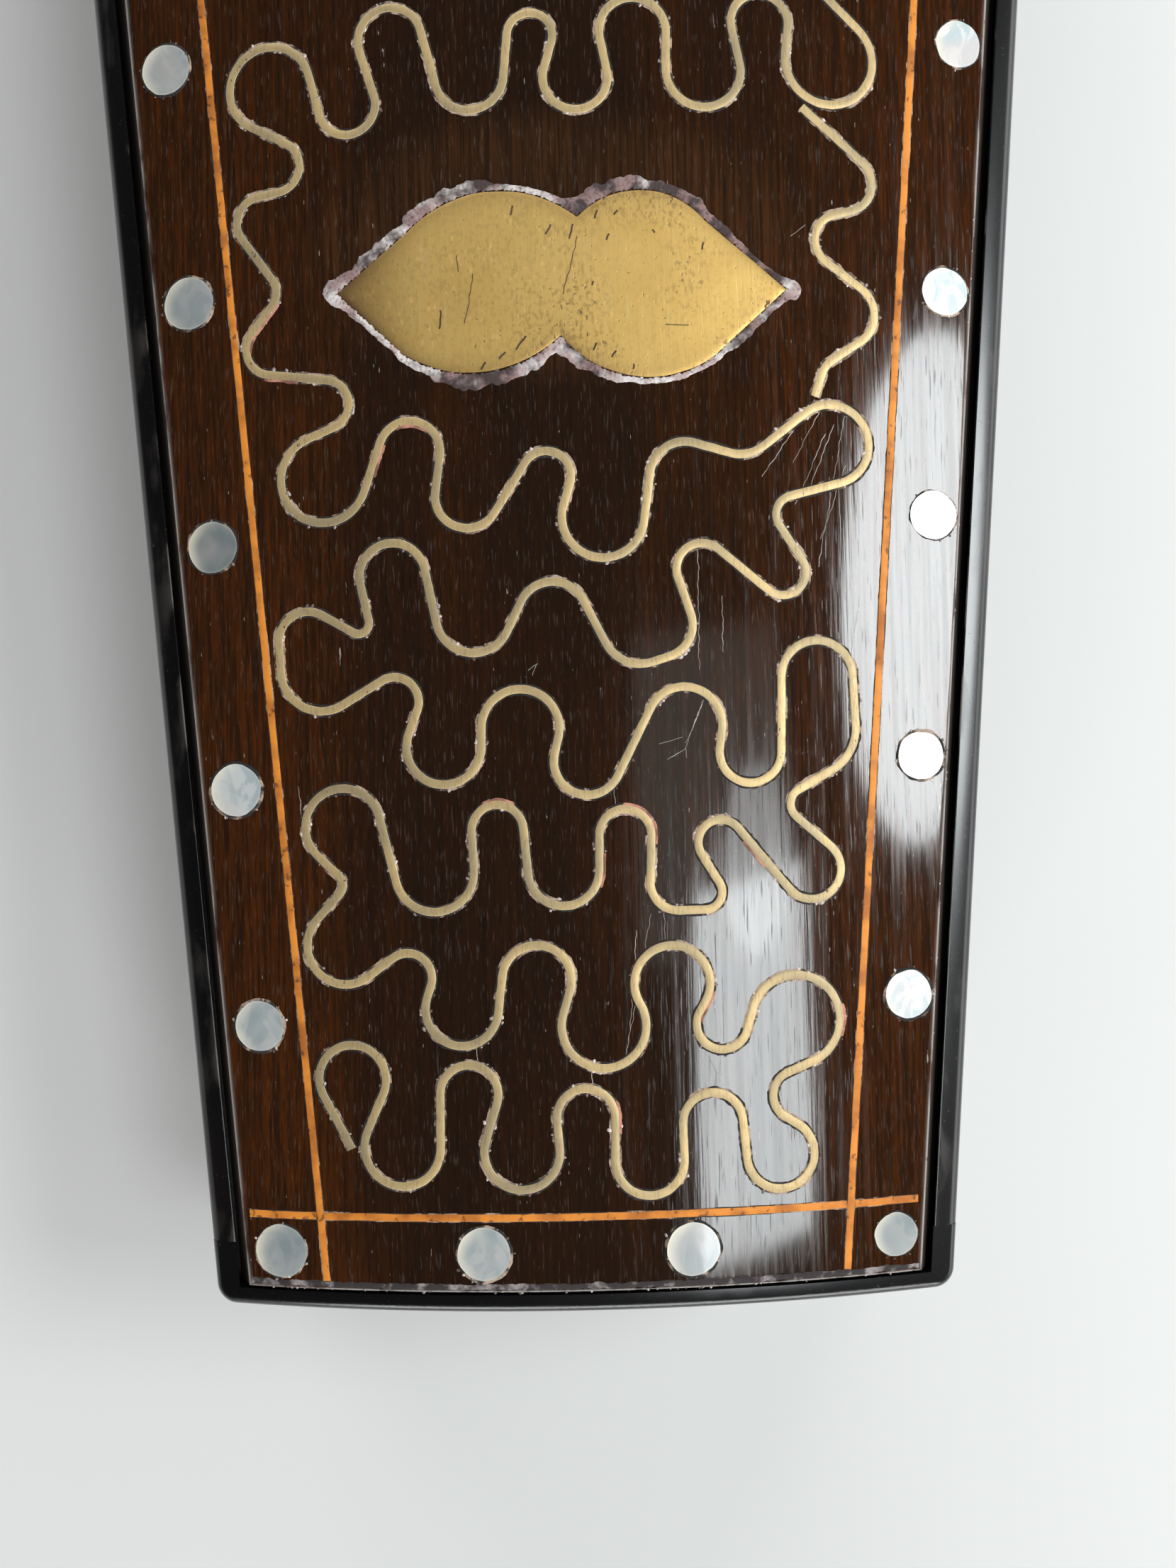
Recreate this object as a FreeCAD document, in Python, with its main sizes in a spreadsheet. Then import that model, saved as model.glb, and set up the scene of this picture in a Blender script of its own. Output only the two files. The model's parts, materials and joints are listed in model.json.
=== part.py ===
import FreeCAD, Part
import math
import os

import Sketcher
from FreeCAD import Placement, Rotation, Vector

# A long tapered wooden box with a bowed sliding lid. The lid is a rosewood board inlaid with brass strip, a
# brass plaque, pearl dots and orange stringing. The box lies on its base: +Z is up, +Y runs to the wide end,
# and the origin is under the middle of the box.

# Driving sizes in millimetres.
SIZES = {
    # The outside of the box.
    "length": 190.0,
    "narrow_width": 70.0,
    "wide_width": 100.0,
    "rim_height": 36.0,
    # The crown is the bow across the lid and the rim. It rises this far above the rim at the narrow end.
    "crown_height": 4.6,
    # The crown would run out this far outside the walls, this far below the rim.
    "crown_reach": 1.0,
    "crown_drop": 1.0,
    # Walls, with a rail along the top that leans in over the lid's edge.
    "wall": 6.0,
    "end_wall": 6.0,
    "rim_land": 2.4,
    "end_land": 1.7,
    "rail_height": 3.2,
    "rail_undercut": 0.8,
    "rim_round": 0.9,
    "corner_round": 2.0,
    # The base board lies in a rebate of the walls.
    "base_thickness": 4.0,
    "base_rebate": 2.5,
    "fit_gap": 0.05,
    # Dowels in the corners and pins through the base board.
    "dowel_diameter": 3.0,
    "dowel_length": 14.0,
    "dowel_bite": 4.0,
    "dowel_low": 11.5,
    "dowel_high": 24.0,
    "pin_diameter": 1.2,
    "pin_length": 9.0,
    "pin_inset": 22.0,
    "end_pin_spacing": 30.0,
    # The lid's edges are bevelled to run under the rails.
    "lid_bevel": 1.4,
    "lid_side_play": 0.3,
    "lid_end_play": 0.25,
    "lid_lift": 0.15,
    "batten_width": 2.4,
    # Pearl dots, and how far they lie inside the lid's edges.
    "dot_diameter": 5.0,
    "dot_depth": 1.0,
    "dot_edge_left": 1.1,
    "dot_edge_right": 0.3,
    "dot_edge_end": 0.95,
    # Stringing, and the gaps from the dots to the middle of each string.
    "string_width": 0.68,
    "string_depth": 0.8,
    "string_gap_left": 1.7,
    "string_gap_right": 2.1,
    "string_gap_end": 0.9,
    "string_edge_inset": 0.8,
    # Brass.
    "wire_width": 0.8,
    "wire_depth": 1.2,
    "plaque_depth": 1.0,
    "mastic_width": 0.7,
    "inlay_gap": 0.05,
}

# Counts.
NARROW_DOTS = 2
WIDE_DOTS = 3
PINS_PER_SIDE = 4
# The dots of the side rows are set by eye. Counted from the narrow end, each lies this share of a dot off its
# even place.
LEFT_DOT_SHIFTS = (0.0, -0.26, -0.28, -0.14, 0.04, 0.06, 0.08, -0.06, 0.0)
RIGHT_DOT_SHIFTS = (0.04, 0.06, 0.08, 0.16, -0.06, 0.2, -0.08, 0.1, 0.0)

# The brass strip's bends in the order in which it is laid, as places across and along the lid from the middle
# of the plaque, with the bend's radius. A bend that turns left has a positive radius, one that turns right a
# negative one. The strip starts at the narrow end's left corner and goes to and fro across the lid.
STRIP_START = (-22.0, -81.6)
ROW_ONE = [
    (-21.8, -75.0, -3.2), (-17.2, -81.6, 3.6), (-10.7, -76.7, -2.7), (-5.8, -82.3, 3.5),
    (0.4, -79.2, -2.7), (6.4, -83.4, 3.2), (12.5, -79.9, -2.8), (18.9, -83.0, 3.2), (20.6, -77.4, -2.3),
]
ROW_TWO = [
    (20.6, -70.3, 4.2), (13.6, -70.5, -2.4), (8.9, -66.6, 3.5), (2.3, -70.5, -3.9), (-4.0, -66.0, 3.2),
    (-11.2, -68.6, -3.4), (-16.3, -65.5, 2.3), (-22.2, -62.3, -3.6), (-23.3, -56.5, 1.1),
]
ROW_THREE = [
    (-22.1, -51.0, -3.6), (-13.5, -55.5, 3.7), (-7.4, -51.7, -2.4), (-1.2, -55.6, 3.3), (4.75, -52.4, -2.4),
    (9.7, -57.0, 2.6), (12.2, -58.0, 1.6), (13.8, -53.3, -2.1), (22.4, -56.0, 2.8), (22.0, -49.8, -1.5),
]
ROW_FOUR = [
    (22.3, -42.5, 4.6), (23.3, -37.7, 3.4), (16.8, -44.7, -2.9), (10.6, -42.0, 3.5), (1.3, -45.3, -3.1),
    (-5.0, -42.0, 3.6), (-12.3, -43.6, -3.5), (-16.9, -39.2, 2.3), (-23.7, -35.8, -4.0), (-25.0, -33.2, -2.8),
    (-20.1, -31.6, 1.0),
]
ROW_FIVE = [
    (-16.8, -27.2, -3.1), (-9.2, -31.1, 3.5), (-1.7, -31.4, -3.2), (6.6, -32.4, 3.6), (8.4, -32.4, 3.1),
    (12.6, -27.2, -2.4), (20.2, -27.6, 2.2), (21.5, -22.2, -1.8),
]
ROW_SIX = [
    (25.0, -15.5, 3.7), (16.4, -12.6, -3.6), (11.2, -18.4, 3.3), (3.3, -22.0, -3.8), (-2.0, -18.0, 2.3),
    (-9.5, -19.7, -3.0), (-14.9, -15.4, 2.9), (-23.1, -17.7, -4.1), (-22.8, -10.6, 2.3),
]
LEFT_LINK = [
    (-27.7, -5.0, -2.5), (-29.2, 0.3, 2.1), (-28.4, 7.2, -2.4), (-27.0, 12.4, 2.4),
]
ROW_SEVEN = [
    (-27.3, 20.0, -3.9), (-20.0, 18.0, 2.7), (-15.8, 24.2, -3.0), (-8.4, 20.5, 3.2), (-2.6, 24.2, -2.1),
    (1.6, 20.1, 3.0), (7.1, 24.4, -3.1), (13.7, 20.6, 3.5), (19.1, 25.0, -2.7), (25.6, 21.4, 4.2),
]
# The link up the right side is a length of its own between the rows above and below the plaque.
RIGHT_LINK_START = (22.9, 16.9)
RIGHT_LINK_END = (23.6, -10.9)
RIGHT_LINK = [
    (26.8, 9.6, -2.7), (26.4, 4.0, 2.5), (26.5, -3.0, -3.0), (26.6, -9.6, 2.4),
]
# Plaque: two lobes meeting in an upper and a lower notch, drawn out to a tip on each side.
PLAQUE_LEFT_TIP = (-21.6, 0.0)
PLAQUE_RIGHT_TIP = (21.4, -0.6)
PLAQUE_TOP_NOTCH = (1.5, 6.9)
PLAQUE_BOTTOM_NOTCH = (-0.3, -4.8)
PLAQUE_LEFT_SHOULDERS = ((-14.5, 6.0), (-15.3, -6.2))
PLAQUE_RIGHT_SHOULDERS = ((13.5, 6.4), (14.3, -7.0))
PLAQUE_LEFT_CRESTS = ((-6.5, 9.6), (-8.5, -8.2))
PLAQUE_RIGHT_CRESTS = ((7.0, 9.4), (7.5, -9.0))

# These places were read off a picture taken square on from READ_DISTANCE, with its middle at READ_EYE. The
# crown stands nearer and reads larger, which on_lid takes back. The other values are the lid as it was read:
# its crown, the middle of its length, its half width there, and the field between the strings.
READ_EYE = (2.3, -47.4)
READ_DISTANCE = 150.0
READ_CROWN = 5.0
READ_MIDDLE = -1.0
READ_HALF_WIDTH = 42.5
READ_FIELD_MIDDLE = 0.2
READ_FIELD_HALF = 31.3
READ_FIELD_SLOPE = 0.073
READ_FIELD_LENGTH = 172.4
# Beyond row seven the strip repeats rows five to one, mirrored about the plaque and pressed into what is left.
REPEAT_FROM = 22.2
REPEAT_NEAR = 28.6
REPEAT_END = 86.0
REPEAT_FAR = 84.0

doc = FreeCAD.newDocument("inlaid_box")
sheet = doc.addObject("Spreadsheet::Sheet", "Sizes")
for row, (name, value) in enumerate(SIZES.items(), start=1):
    sheet.set(f"A{row}", name)
    sheet.set(f"B{row}", str(value))
    sheet.setAlias(f"B{row}", name)
doc.recompute()


def mm(name):
    """The size of that name, from the sheet."""
    return float(sheet.get(name))


SIDE_SLOPE = (mm("wide_width") - mm("narrow_width")) / (2 * mm("length"))
NARROW_END = -mm("length") / 2
WIDE_END = mm("length") / 2
LEDGE = mm("rim_height") - mm("rail_height")
# Solids that are cut to the crown, and tools that cut through it, reach this many crown heights above the rim.
TOOL_RISE = 4
ABOVE_CROWN = mm("rim_height") + TOOL_RISE * mm("crown_height")
# The crown's own solid runs past each end of the box by this share of its length.
CROWN_OVERRUN = 0.25
SLOPE_TEXT = "(Sizes.wide_width - Sizes.narrow_width) / (2 * Sizes.length)"
LEDGE_TEXT = "Sizes.rim_height - Sizes.rail_height"
ABOVE_CROWN_TEXT = f"Sizes.rim_height + {TOOL_RISE} * Sizes.crown_height"


def half_width(y):
    """Half the box's outside width at a place along it."""
    return mm("narrow_width") / 2 + SIDE_SLOPE * (y - NARROW_END)


def half_width_text(from_narrow_end):
    """Half the outside width as an expression, for a distance from the narrow end."""
    return f"(Sizes.narrow_width / 2 + {SLOPE_TEXT} * ({from_narrow_end}))"


def lid_inset():
    """How far the lid's top edges lie inside the box's sides."""
    return mm("rim_land") + mm("lid_side_play") + mm("lid_bevel") - mm("rail_undercut")


def lid_end_inset():
    """How far the lid's narrow end lies inside the box's end."""
    return mm("end_land") + mm("lid_end_play")


def dot_margin(edge_name, edge_inset):
    """From the outside of the box to the middle of a dot."""
    return edge_inset + mm(edge_name) + mm("dot_diameter") / 2


def string_margin(side):
    """From the outside of the box to the middle of a string."""
    inset = lid_end_inset() if side == "end" else lid_inset()
    return inset + mm(f"dot_edge_{side}") + mm("dot_diameter") + mm(f"string_gap_{side}")


# Helpers for solids with flat faces


def polygon_sketch(body, name, role, corners):
    """Closed outline on one of the body's own planes. Each corner is a pair of expressions."""
    sketch = body.newObject("Sketcher::SketchObject", name)
    plane = next(feature for feature in body.Origin.OriginFeatures if feature.Role == role)
    sketch.AttachmentSupport = [(plane, "")]
    sketch.MapMode = "FlatFace"
    count = len(corners)
    angles = [2 * math.pi * i / count for i in range(count)]
    ring = [Vector(math.cos(angle), math.sin(angle), 0) for angle in angles]
    for i in range(count):
        sketch.addGeometry(Part.LineSegment(ring[i], ring[(i + 1) % count]), False)
    for i in range(count):
        sketch.addConstraint(Sketcher.Constraint("Coincident", i, 2, (i + 1) % count, 1))
    for i, corner in enumerate(corners):
        for kind, start, text in zip(("DistanceX", "DistanceY"), ring[i], corner):
            index = sketch.addConstraint(Sketcher.Constraint(kind, -1, 1, i, 1, start))
            sketch.setExpression(f"Constraints[{index}]", text)
    return sketch


def padded_body(name, role, corners, length_text):
    """A body whose outline is padded up from its plane."""
    body = doc.addObject("PartDesign::Body", name)
    sketch = polygon_sketch(body, f"{name}_outline", role, corners)
    pad = body.newObject("PartDesign::Pad", f"{name}_pad")
    pad.Profile = sketch
    pad.setExpression("Length", length_text)
    return body, pad


def frustum(bottom, top):
    """Solid between two outlines with the same number of corners."""
    count = len(bottom)
    faces = [Part.Face(Part.makePolygon(ring + ring[:1])) for ring in (bottom, top)]
    for i in range(count):
        k = (i + 1) % count
        faces.append(Part.Face(Part.makePolygon([bottom[i], bottom[k], top[k], top[i], bottom[i]])))
    solid = Part.Solid(Part.Shell(faces))
    if solid.Volume < 0:
        solid.reverse()
    return solid


def taper_outline(z, low_y, high_y, inset):
    """Four corners of a tapered outline whose sides lie this far inside the box's sides."""
    low = half_width(low_y) - inset
    high = half_width(high_y) - inset
    return [Vector(-low, low_y, z), Vector(low, low_y, z), Vector(high, high_y, z), Vector(-high, high_y, z)]


def feature(name, shape):
    """A document object that holds a worked-out shape."""
    made = doc.addObject("Part::Feature", name)
    made.Shape = shape
    made.Placement = Placement()
    return made


def cut(name, base, tools):
    """Base with the tools taken away, as a document object."""
    made = doc.addObject("Part::Cut", name)
    made.Base = base
    made.Tool = tools
    return made


def round_edges(name, base, wanted, radius_name):
    """Base with the wanted edges rounded."""
    doc.recompute()
    radius = mm(radius_name)
    made = doc.addObject("Part::Fillet", name)
    made.Base = base
    made.Edges = [(i, radius, radius) for i, edge in enumerate(base.Shape.Edges, start=1) if wanted(edge)]
    return made


# The crown


def crown_solid(lift):
    """Round solid whose top is the crown, raised by lift.

    It is part of a cone. Its tip is where the box's sides would meet, so the crown's edges stay level while
    the box widens.
    """
    tip_distance = mm("narrow_width") / 2 / SIDE_SLOPE
    crest_angle = math.atan((mm("crown_height") + mm("crown_drop")) / tip_distance)
    side_angle = math.atan((mm("narrow_width") / 2 + mm("crown_reach")) / tip_distance)
    axis_angle = math.atan((math.cos(crest_angle) - math.cos(side_angle)) / math.sin(crest_angle))
    cone_angle = crest_angle + axis_angle
    tip = Vector(0, NARROW_END - tip_distance, mm("rim_height") - mm("crown_drop") + lift)
    axis = Vector(0, math.cos(axis_angle), -math.sin(axis_angle))
    overrun = CROWN_OVERRUN * mm("length")
    near = (tip_distance - overrun) * math.cos(cone_angle)
    far = (tip_distance + mm("length") + overrun) * math.cos(cone_angle)
    spread = math.tan(cone_angle)
    return Part.makeCone(near * spread, far * spread, far - near, tip + axis * near, axis)


CROWN_TOP = crown_solid(0.0)
crown = feature("crown", CROWN_TOP)


# Fasteners: each is a cylinder from a start along a direction, with a hole a little larger


def fasteners(name, starts, diameter_name, length_name):
    """One node of equal round pieces, and the holes that they sit in."""
    pieces = []
    holes = []
    for i, (start, direction) in enumerate(starts):
        turn = Rotation(Vector(0, 0, 1), direction)
        piece = doc.addObject("Part::Cylinder", f"{name}_{i}")
        piece.setExpression("Radius", f"Sizes.{diameter_name} / 2")
        piece.setExpression("Height", f"Sizes.{length_name}")
        piece.Placement = Placement(start, turn)
        hole = doc.addObject("Part::Cylinder", f"{name}_hole_{i}")
        hole.setExpression("Radius", f"Sizes.{diameter_name} / 2 + Sizes.fit_gap")
        hole.setExpression("Height", f"Sizes.{length_name} + 2 * Sizes.fit_gap")
        hole.Placement = Placement(start - direction * mm("fit_gap"), turn)
        pieces.append(piece)
        holes.append(hole)
    group = doc.addObject("Part::Compound", name)
    group.Links = pieces
    return group, holes


def dowel_starts():
    """Dowels: along the box into the narrow end of each side wall, and across it into the wide end wall."""
    starts = []
    low_joint = NARROW_END + mm("end_wall")
    wide_middle = WIDE_END - mm("end_wall") / 2
    for side in (-1, 1):
        for height in (mm("dowel_low"), mm("dowel_high")):
            middle = half_width(low_joint) - mm("wall") / 2
            starts.append((Vector(side * middle, low_joint - mm("dowel_bite"), height), Vector(0, 1, 0)))
            seat = half_width(wide_middle) - mm("wall") + mm("dowel_bite")
            starts.append((Vector(side * seat, wide_middle, height), Vector(-side, 0, 0)))
    return starts


def pin_starts():
    """Pins up through the margin of the base board into the walls."""
    starts = []
    step = (mm("length") - 2 * mm("pin_inset")) / (PINS_PER_SIDE - 1)
    margin = mm("base_rebate") / 2
    for side in (-1, 1):
        for i in range(PINS_PER_SIDE):
            y = NARROW_END + mm("pin_inset") + i * step
            starts.append((Vector(side * (half_width(y) - mm("wall") + margin), y, 0), Vector(0, 0, 1)))
        for y in (NARROW_END + mm("end_wall") - margin, WIDE_END - mm("end_wall") + margin):
            starts.append((Vector(side * mm("end_pin_spacing") / 2, y, 0), Vector(0, 0, 1)))
    return starts


corner_dowels, dowel_holes = fasteners("corner_dowels", dowel_starts(), "dowel_diameter", "dowel_length")
base_pins, pin_holes = fasteners("base_pins", pin_starts(), "pin_diameter", "pin_length")
holes = doc.addObject("Part::Compound", "fastener_holes")
holes.Links = dowel_holes + pin_holes


# The case


def base_outline(z, gap):
    """Outline of the space for the base board, drawn in by a gap."""
    low_y = NARROW_END + mm("end_wall") - mm("base_rebate") + gap
    high_y = WIDE_END - mm("end_wall") + mm("base_rebate") - gap
    return taper_outline(z, low_y, high_y, mm("wall") - mm("base_rebate") + gap)


def lid_space():
    """Space under the rails that the lid slides in, open above and at the wide end."""
    lean = mm("rail_undercut") / mm("rail_height")
    rise = ABOVE_CROWN - LEDGE
    foot = mm("rim_land") - mm("rail_undercut")
    low_y = NARROW_END + mm("end_land")
    high_y = WIDE_END + mm("end_wall")
    bottom = taper_outline(LEDGE, low_y, high_y, foot)
    top = taper_outline(ABOVE_CROWN, low_y, high_y, foot + lean * rise)
    return frustum(bottom, top)


def side_wall(name, side):
    """Side wall: one section drawn along the slanting side, topped by the crown, its outer rim rounded."""
    outside = half_width_text("Sizes.end_wall")
    inside = f"{outside} - Sizes.wall"
    section = [
        (outside, "0"),
        (outside, "Sizes.rim_height"),
        (f"{outside} - Sizes.rim_land", "Sizes.rim_height"),
        (f"{outside} - Sizes.rim_land + Sizes.rail_undercut", LEDGE_TEXT),
        (inside, LEDGE_TEXT),
        (inside, "Sizes.base_thickness"),
        (f"{inside} + Sizes.base_rebate", "Sizes.base_thickness"),
        (f"{inside} + Sizes.base_rebate", "0"),
    ]
    corners = [(f"{side} * ({across})", up) for across, up in section]
    body, pad = padded_body(f"{name}_body", "XZ_Plane", corners, "Sizes.length - Sizes.end_wall")
    pad.UseCustomVector = True
    pad.AlongSketchNormal = True
    pad.Direction = Vector(side * SIDE_SLOPE, 1, 0)
    body.setExpression("Placement.Base.y", "Sizes.end_wall - Sizes.length / 2")
    crowned = doc.addObject("Part::Common", f"{name}_crowned")
    crowned.Base = body
    crowned.Tool = crown

    def outer_rim(edge):
        middle = edge.CenterOfMass
        at_side = abs(side * middle.x - half_width(middle.y)) < mm("fit_gap")
        return at_side and middle.z > LEDGE and edge.BoundBox.YLength > mm("length") / 2

    rounded = round_edges(f"{name}_rounded", crowned, outer_rim, "rim_round")
    return cut(name, rounded, holes)


def narrow_end_wall():
    """End wall across both side walls, with its corners rounded and its top arched with the crown."""
    corners = [
        ("-Sizes.narrow_width / 2", "-Sizes.length / 2"),
        ("Sizes.narrow_width / 2", "-Sizes.length / 2"),
        (half_width_text("Sizes.end_wall"), "Sizes.end_wall - Sizes.length / 2"),
        ("-" + half_width_text("Sizes.end_wall"), "Sizes.end_wall - Sizes.length / 2"),
    ]
    body, pad = padded_body("narrow_end_body", "XY_Plane", corners, ABOVE_CROWN_TEXT)
    doc.recompute()

    def at_corner(edge):
        box = edge.BoundBox
        return box.ZLength > mm("rim_height") and abs(box.YMin - NARROW_END) < mm("fit_gap")

    corner = body.newObject("PartDesign::Fillet", "narrow_end_corners")
    upright = [f"Edge{i}" for i, edge in enumerate(pad.Shape.Edges, start=1) if at_corner(edge)]
    corner.Base = (pad, upright)
    corner.setExpression("Radius", "Sizes.corner_round")
    crowned = doc.addObject("Part::Common", "narrow_end_crowned")
    crowned.Base = body
    crowned.Tool = crown

    def outer_rim(edge):
        box = edge.BoundBox
        inner_y = NARROW_END + mm("end_wall")
        return box.ZMin > LEDGE and box.YMin < inner_y - mm("fit_gap") and box.ZLength < mm("rim_height") / 2

    rounded = round_edges("narrow_end_rounded", crowned, outer_rim, "rim_round")
    base_space = frustum(base_outline(0.0, 0.0), base_outline(mm("base_thickness"), 0.0))
    spaces = feature("narrow_end_spaces", Part.makeCompound([lid_space(), base_space]))
    opened = cut("narrow_end_opened", rounded, spaces)
    return cut("narrow_end_wall", opened, holes)


def wide_end_piece(name, start_text, inset_text, height_text):
    """Body across the wide end: it starts at a distance from the narrow end, and lies inside the box's sides."""
    low_half = f"{half_width_text(start_text)} - ({inset_text})"
    high_half = f"{half_width_text('Sizes.length')} - ({inset_text})"
    corners = [
        (f"-({low_half})", f"{start_text} - Sizes.length / 2"),
        (low_half, f"{start_text} - Sizes.length / 2"),
        (high_half, "Sizes.length / 2"),
        (f"-({high_half})", "Sizes.length / 2"),
    ]
    return padded_body(name, "XY_Plane", corners, height_text)[0]


def wide_end_wall():
    """End wall between the side walls, no higher than the ledge, so that the lid can pass over it.

    Its foot is wider and fills the ends of the side walls' rebates.
    """
    start = "Sizes.length - Sizes.end_wall"
    board = wide_end_piece("wide_end_body", start, "Sizes.wall", LEDGE_TEXT)
    foot_inset = "Sizes.wall - Sizes.base_rebate"
    foot = wide_end_piece("wide_end_foot", f"{start} + Sizes.base_rebate", foot_inset, "Sizes.base_thickness")
    joined = doc.addObject("Part::Fuse", "wide_end_joined")
    joined.Base = board
    joined.Tool = foot
    base_space = frustum(base_outline(0.0, 0.0), base_outline(mm("base_thickness"), 0.0))
    opened = cut("wide_end_opened", joined, feature("wide_end_space", base_space))
    return cut("wide_end_wall", opened, holes)


def base_board():
    """Tapered board in the walls' rebate."""
    low = "Sizes.end_wall - Sizes.base_rebate + Sizes.fit_gap"
    drawn_in = "Sizes.wall - Sizes.base_rebate + Sizes.fit_gap"
    low_half = f"{half_width_text(low)} - ({drawn_in})"
    high_half = f"{half_width_text(f'Sizes.length - ({low})')} - ({drawn_in})"
    corners = [
        (f"-({low_half})", f"{low} - Sizes.length / 2"),
        (low_half, f"{low} - Sizes.length / 2"),
        (high_half, f"Sizes.length / 2 - ({low})"),
        (f"-({high_half})", f"Sizes.length / 2 - ({low})"),
    ]
    body = padded_body("base_body", "XY_Plane", corners, "Sizes.base_thickness")[0]
    return cut("base_board", body, holes)


# Inlay: plan outlines sunk into the crown


def inlay(faces, depth):
    """Pieces that fill the crown to a depth under plan outlines drawn at the ledge's height."""
    rise = Vector(0, 0, ABOVE_CROWN - LEDGE)
    below = crown_solid(-depth)
    pieces = [face.extrude(rise).common(CROWN_TOP).cut(below) for face in faces]
    solids = [solid for piece in pieces for solid in piece.Solids]
    return solids[0] if len(solids) == 1 else Part.makeCompound(solids)


def pockets(faces, depth):
    """Tools that cut the seats for such pieces."""
    rise = Vector(0, 0, ABOVE_CROWN - LEDGE)
    below = crown_solid(-depth - mm("inlay_gap"))
    return [face.extrude(rise).cut(below) for face in faces]


def plan_polygon(points):
    """Plan outline with straight edges."""
    return Part.Face(Part.makePolygon(points + points[:1]))


def field_half(y):
    """Half the distance between the long strings."""
    return half_width(y) - (string_margin("left") + string_margin("right")) / 2


def on_lid(across, along, repeated):
    """Place on the lid of a place read off the picture, and how much larger the pattern is there."""
    read_edge = READ_HALF_WIDTH + SIDE_SLOPE * along
    nearer = READ_CROWN * (1 - (across / read_edge) ** 2) / READ_DISTANCE
    across = READ_EYE[0] + (across - READ_EYE[0]) * (1 - nearer)
    along = READ_EYE[1] + (along - READ_EYE[1]) * (1 - nearer)
    read_half = READ_FIELD_HALF + READ_FIELD_SLOPE * along
    stretch = (mm("length") - 2 * string_margin("end")) / READ_FIELD_LENGTH
    press = 1.0
    if repeated:
        press = (REPEAT_FAR - REPEAT_NEAR) / (REPEAT_END - REPEAT_FROM)
        along = REPEAT_NEAR + press * (-along - REPEAT_FROM)
    y = (along - READ_MIDDLE) * stretch
    widen = field_half(y) / read_half
    middle = (string_margin("left") - string_margin("right")) / 2
    x = middle + (across - READ_FIELD_MIDDLE) * widen
    return Vector(x, y, LEDGE), min(stretch * press, widen)


class Bend:
    """One bend of the strip. The radius is positive where the strip turns left."""

    def __init__(self, across, along, radius, repeated=False):
        self.centre, scale = on_lid(across, along, repeated)
        self.radius = radius * scale


def straight_run(first, second):
    """End points of the straight run that leaves one bend and meets the next."""
    between = second.centre - first.centre
    lean = math.asin((second.radius - first.radius) / between.Length)
    heading = math.atan2(between.y, between.x) - lean
    left = Vector(-math.sin(heading), math.cos(heading), 0)
    return first.centre - left * first.radius, second.centre - left * second.radius


def turn_angle(bend, start, end):
    """Angle that the strip turns through in a bend, signed like its radius."""
    from_centre = start - bend.centre
    to_centre = end - bend.centre
    angle = math.atan2(to_centre.y, to_centre.x) - math.atan2(from_centre.y, from_centre.x)
    full = 2 * math.pi
    return angle % full if bend.radius > 0 else -((-angle) % full)


def beside(bend, point, offset):
    """Point level with one on the bend, moved to the strip's left by an offset."""
    return bend.centre + (point - bend.centre) * ((bend.radius - offset) / bend.radius)


def strip_sides(start, bends, end, offset):
    """Edges of one side of a strip through its bends, and the side's two ends."""
    stations = [start] + bends + [end]
    runs = [straight_run(a, b) for a, b in zip(stations, stations[1:])]
    edges = []
    for i, (leave, meet) in enumerate(runs):
        heading = (meet - leave).normalize()
        left = Vector(-heading.y, heading.x, 0) * offset
        edges.append(Part.makeLine(leave + left, meet + left))
        if i < len(bends):
            bend = bends[i]
            onward = runs[i + 1][0]
            half_turn = Rotation(Vector(0, 0, 1), math.degrees(turn_angle(bend, meet, onward) / 2))
            middle = bend.centre + half_turn.multVec(meet - bend.centre)
            points = [beside(bend, point, offset) for point in (meet, middle, onward)]
            edges.append(Part.Arc(*points).toShape())
    first = edges[0].Vertexes[0].Point
    last = edges[-1].Vertexes[-1].Point
    return edges, first, last


class StripEnd:
    """Where a length of strip starts or ends. It acts as a bend with no radius."""

    def __init__(self, centre):
        self.centre = centre
        self.radius = 0.0


def strip_face(start, bends, end, width, longer):
    """Plan outline of a length of strip, made longer at both ends."""
    first_run = straight_run(start, bends[0])
    last_run = straight_run(bends[-1], end)
    start = StripEnd(first_run[0] - (first_run[1] - first_run[0]).normalize() * longer)
    end = StripEnd(last_run[1] + (last_run[1] - last_run[0]).normalize() * longer)
    left, left_first, left_last = strip_sides(start, bends, end, width / 2)
    right, right_first, right_last = strip_sides(start, bends, end, -width / 2)
    caps = [Part.makeLine(left_last, right_last), Part.makeLine(right_first, left_first)]
    return Part.Face(Part.Wire(Part.__sortEdges__(left + caps + right)))


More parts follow.
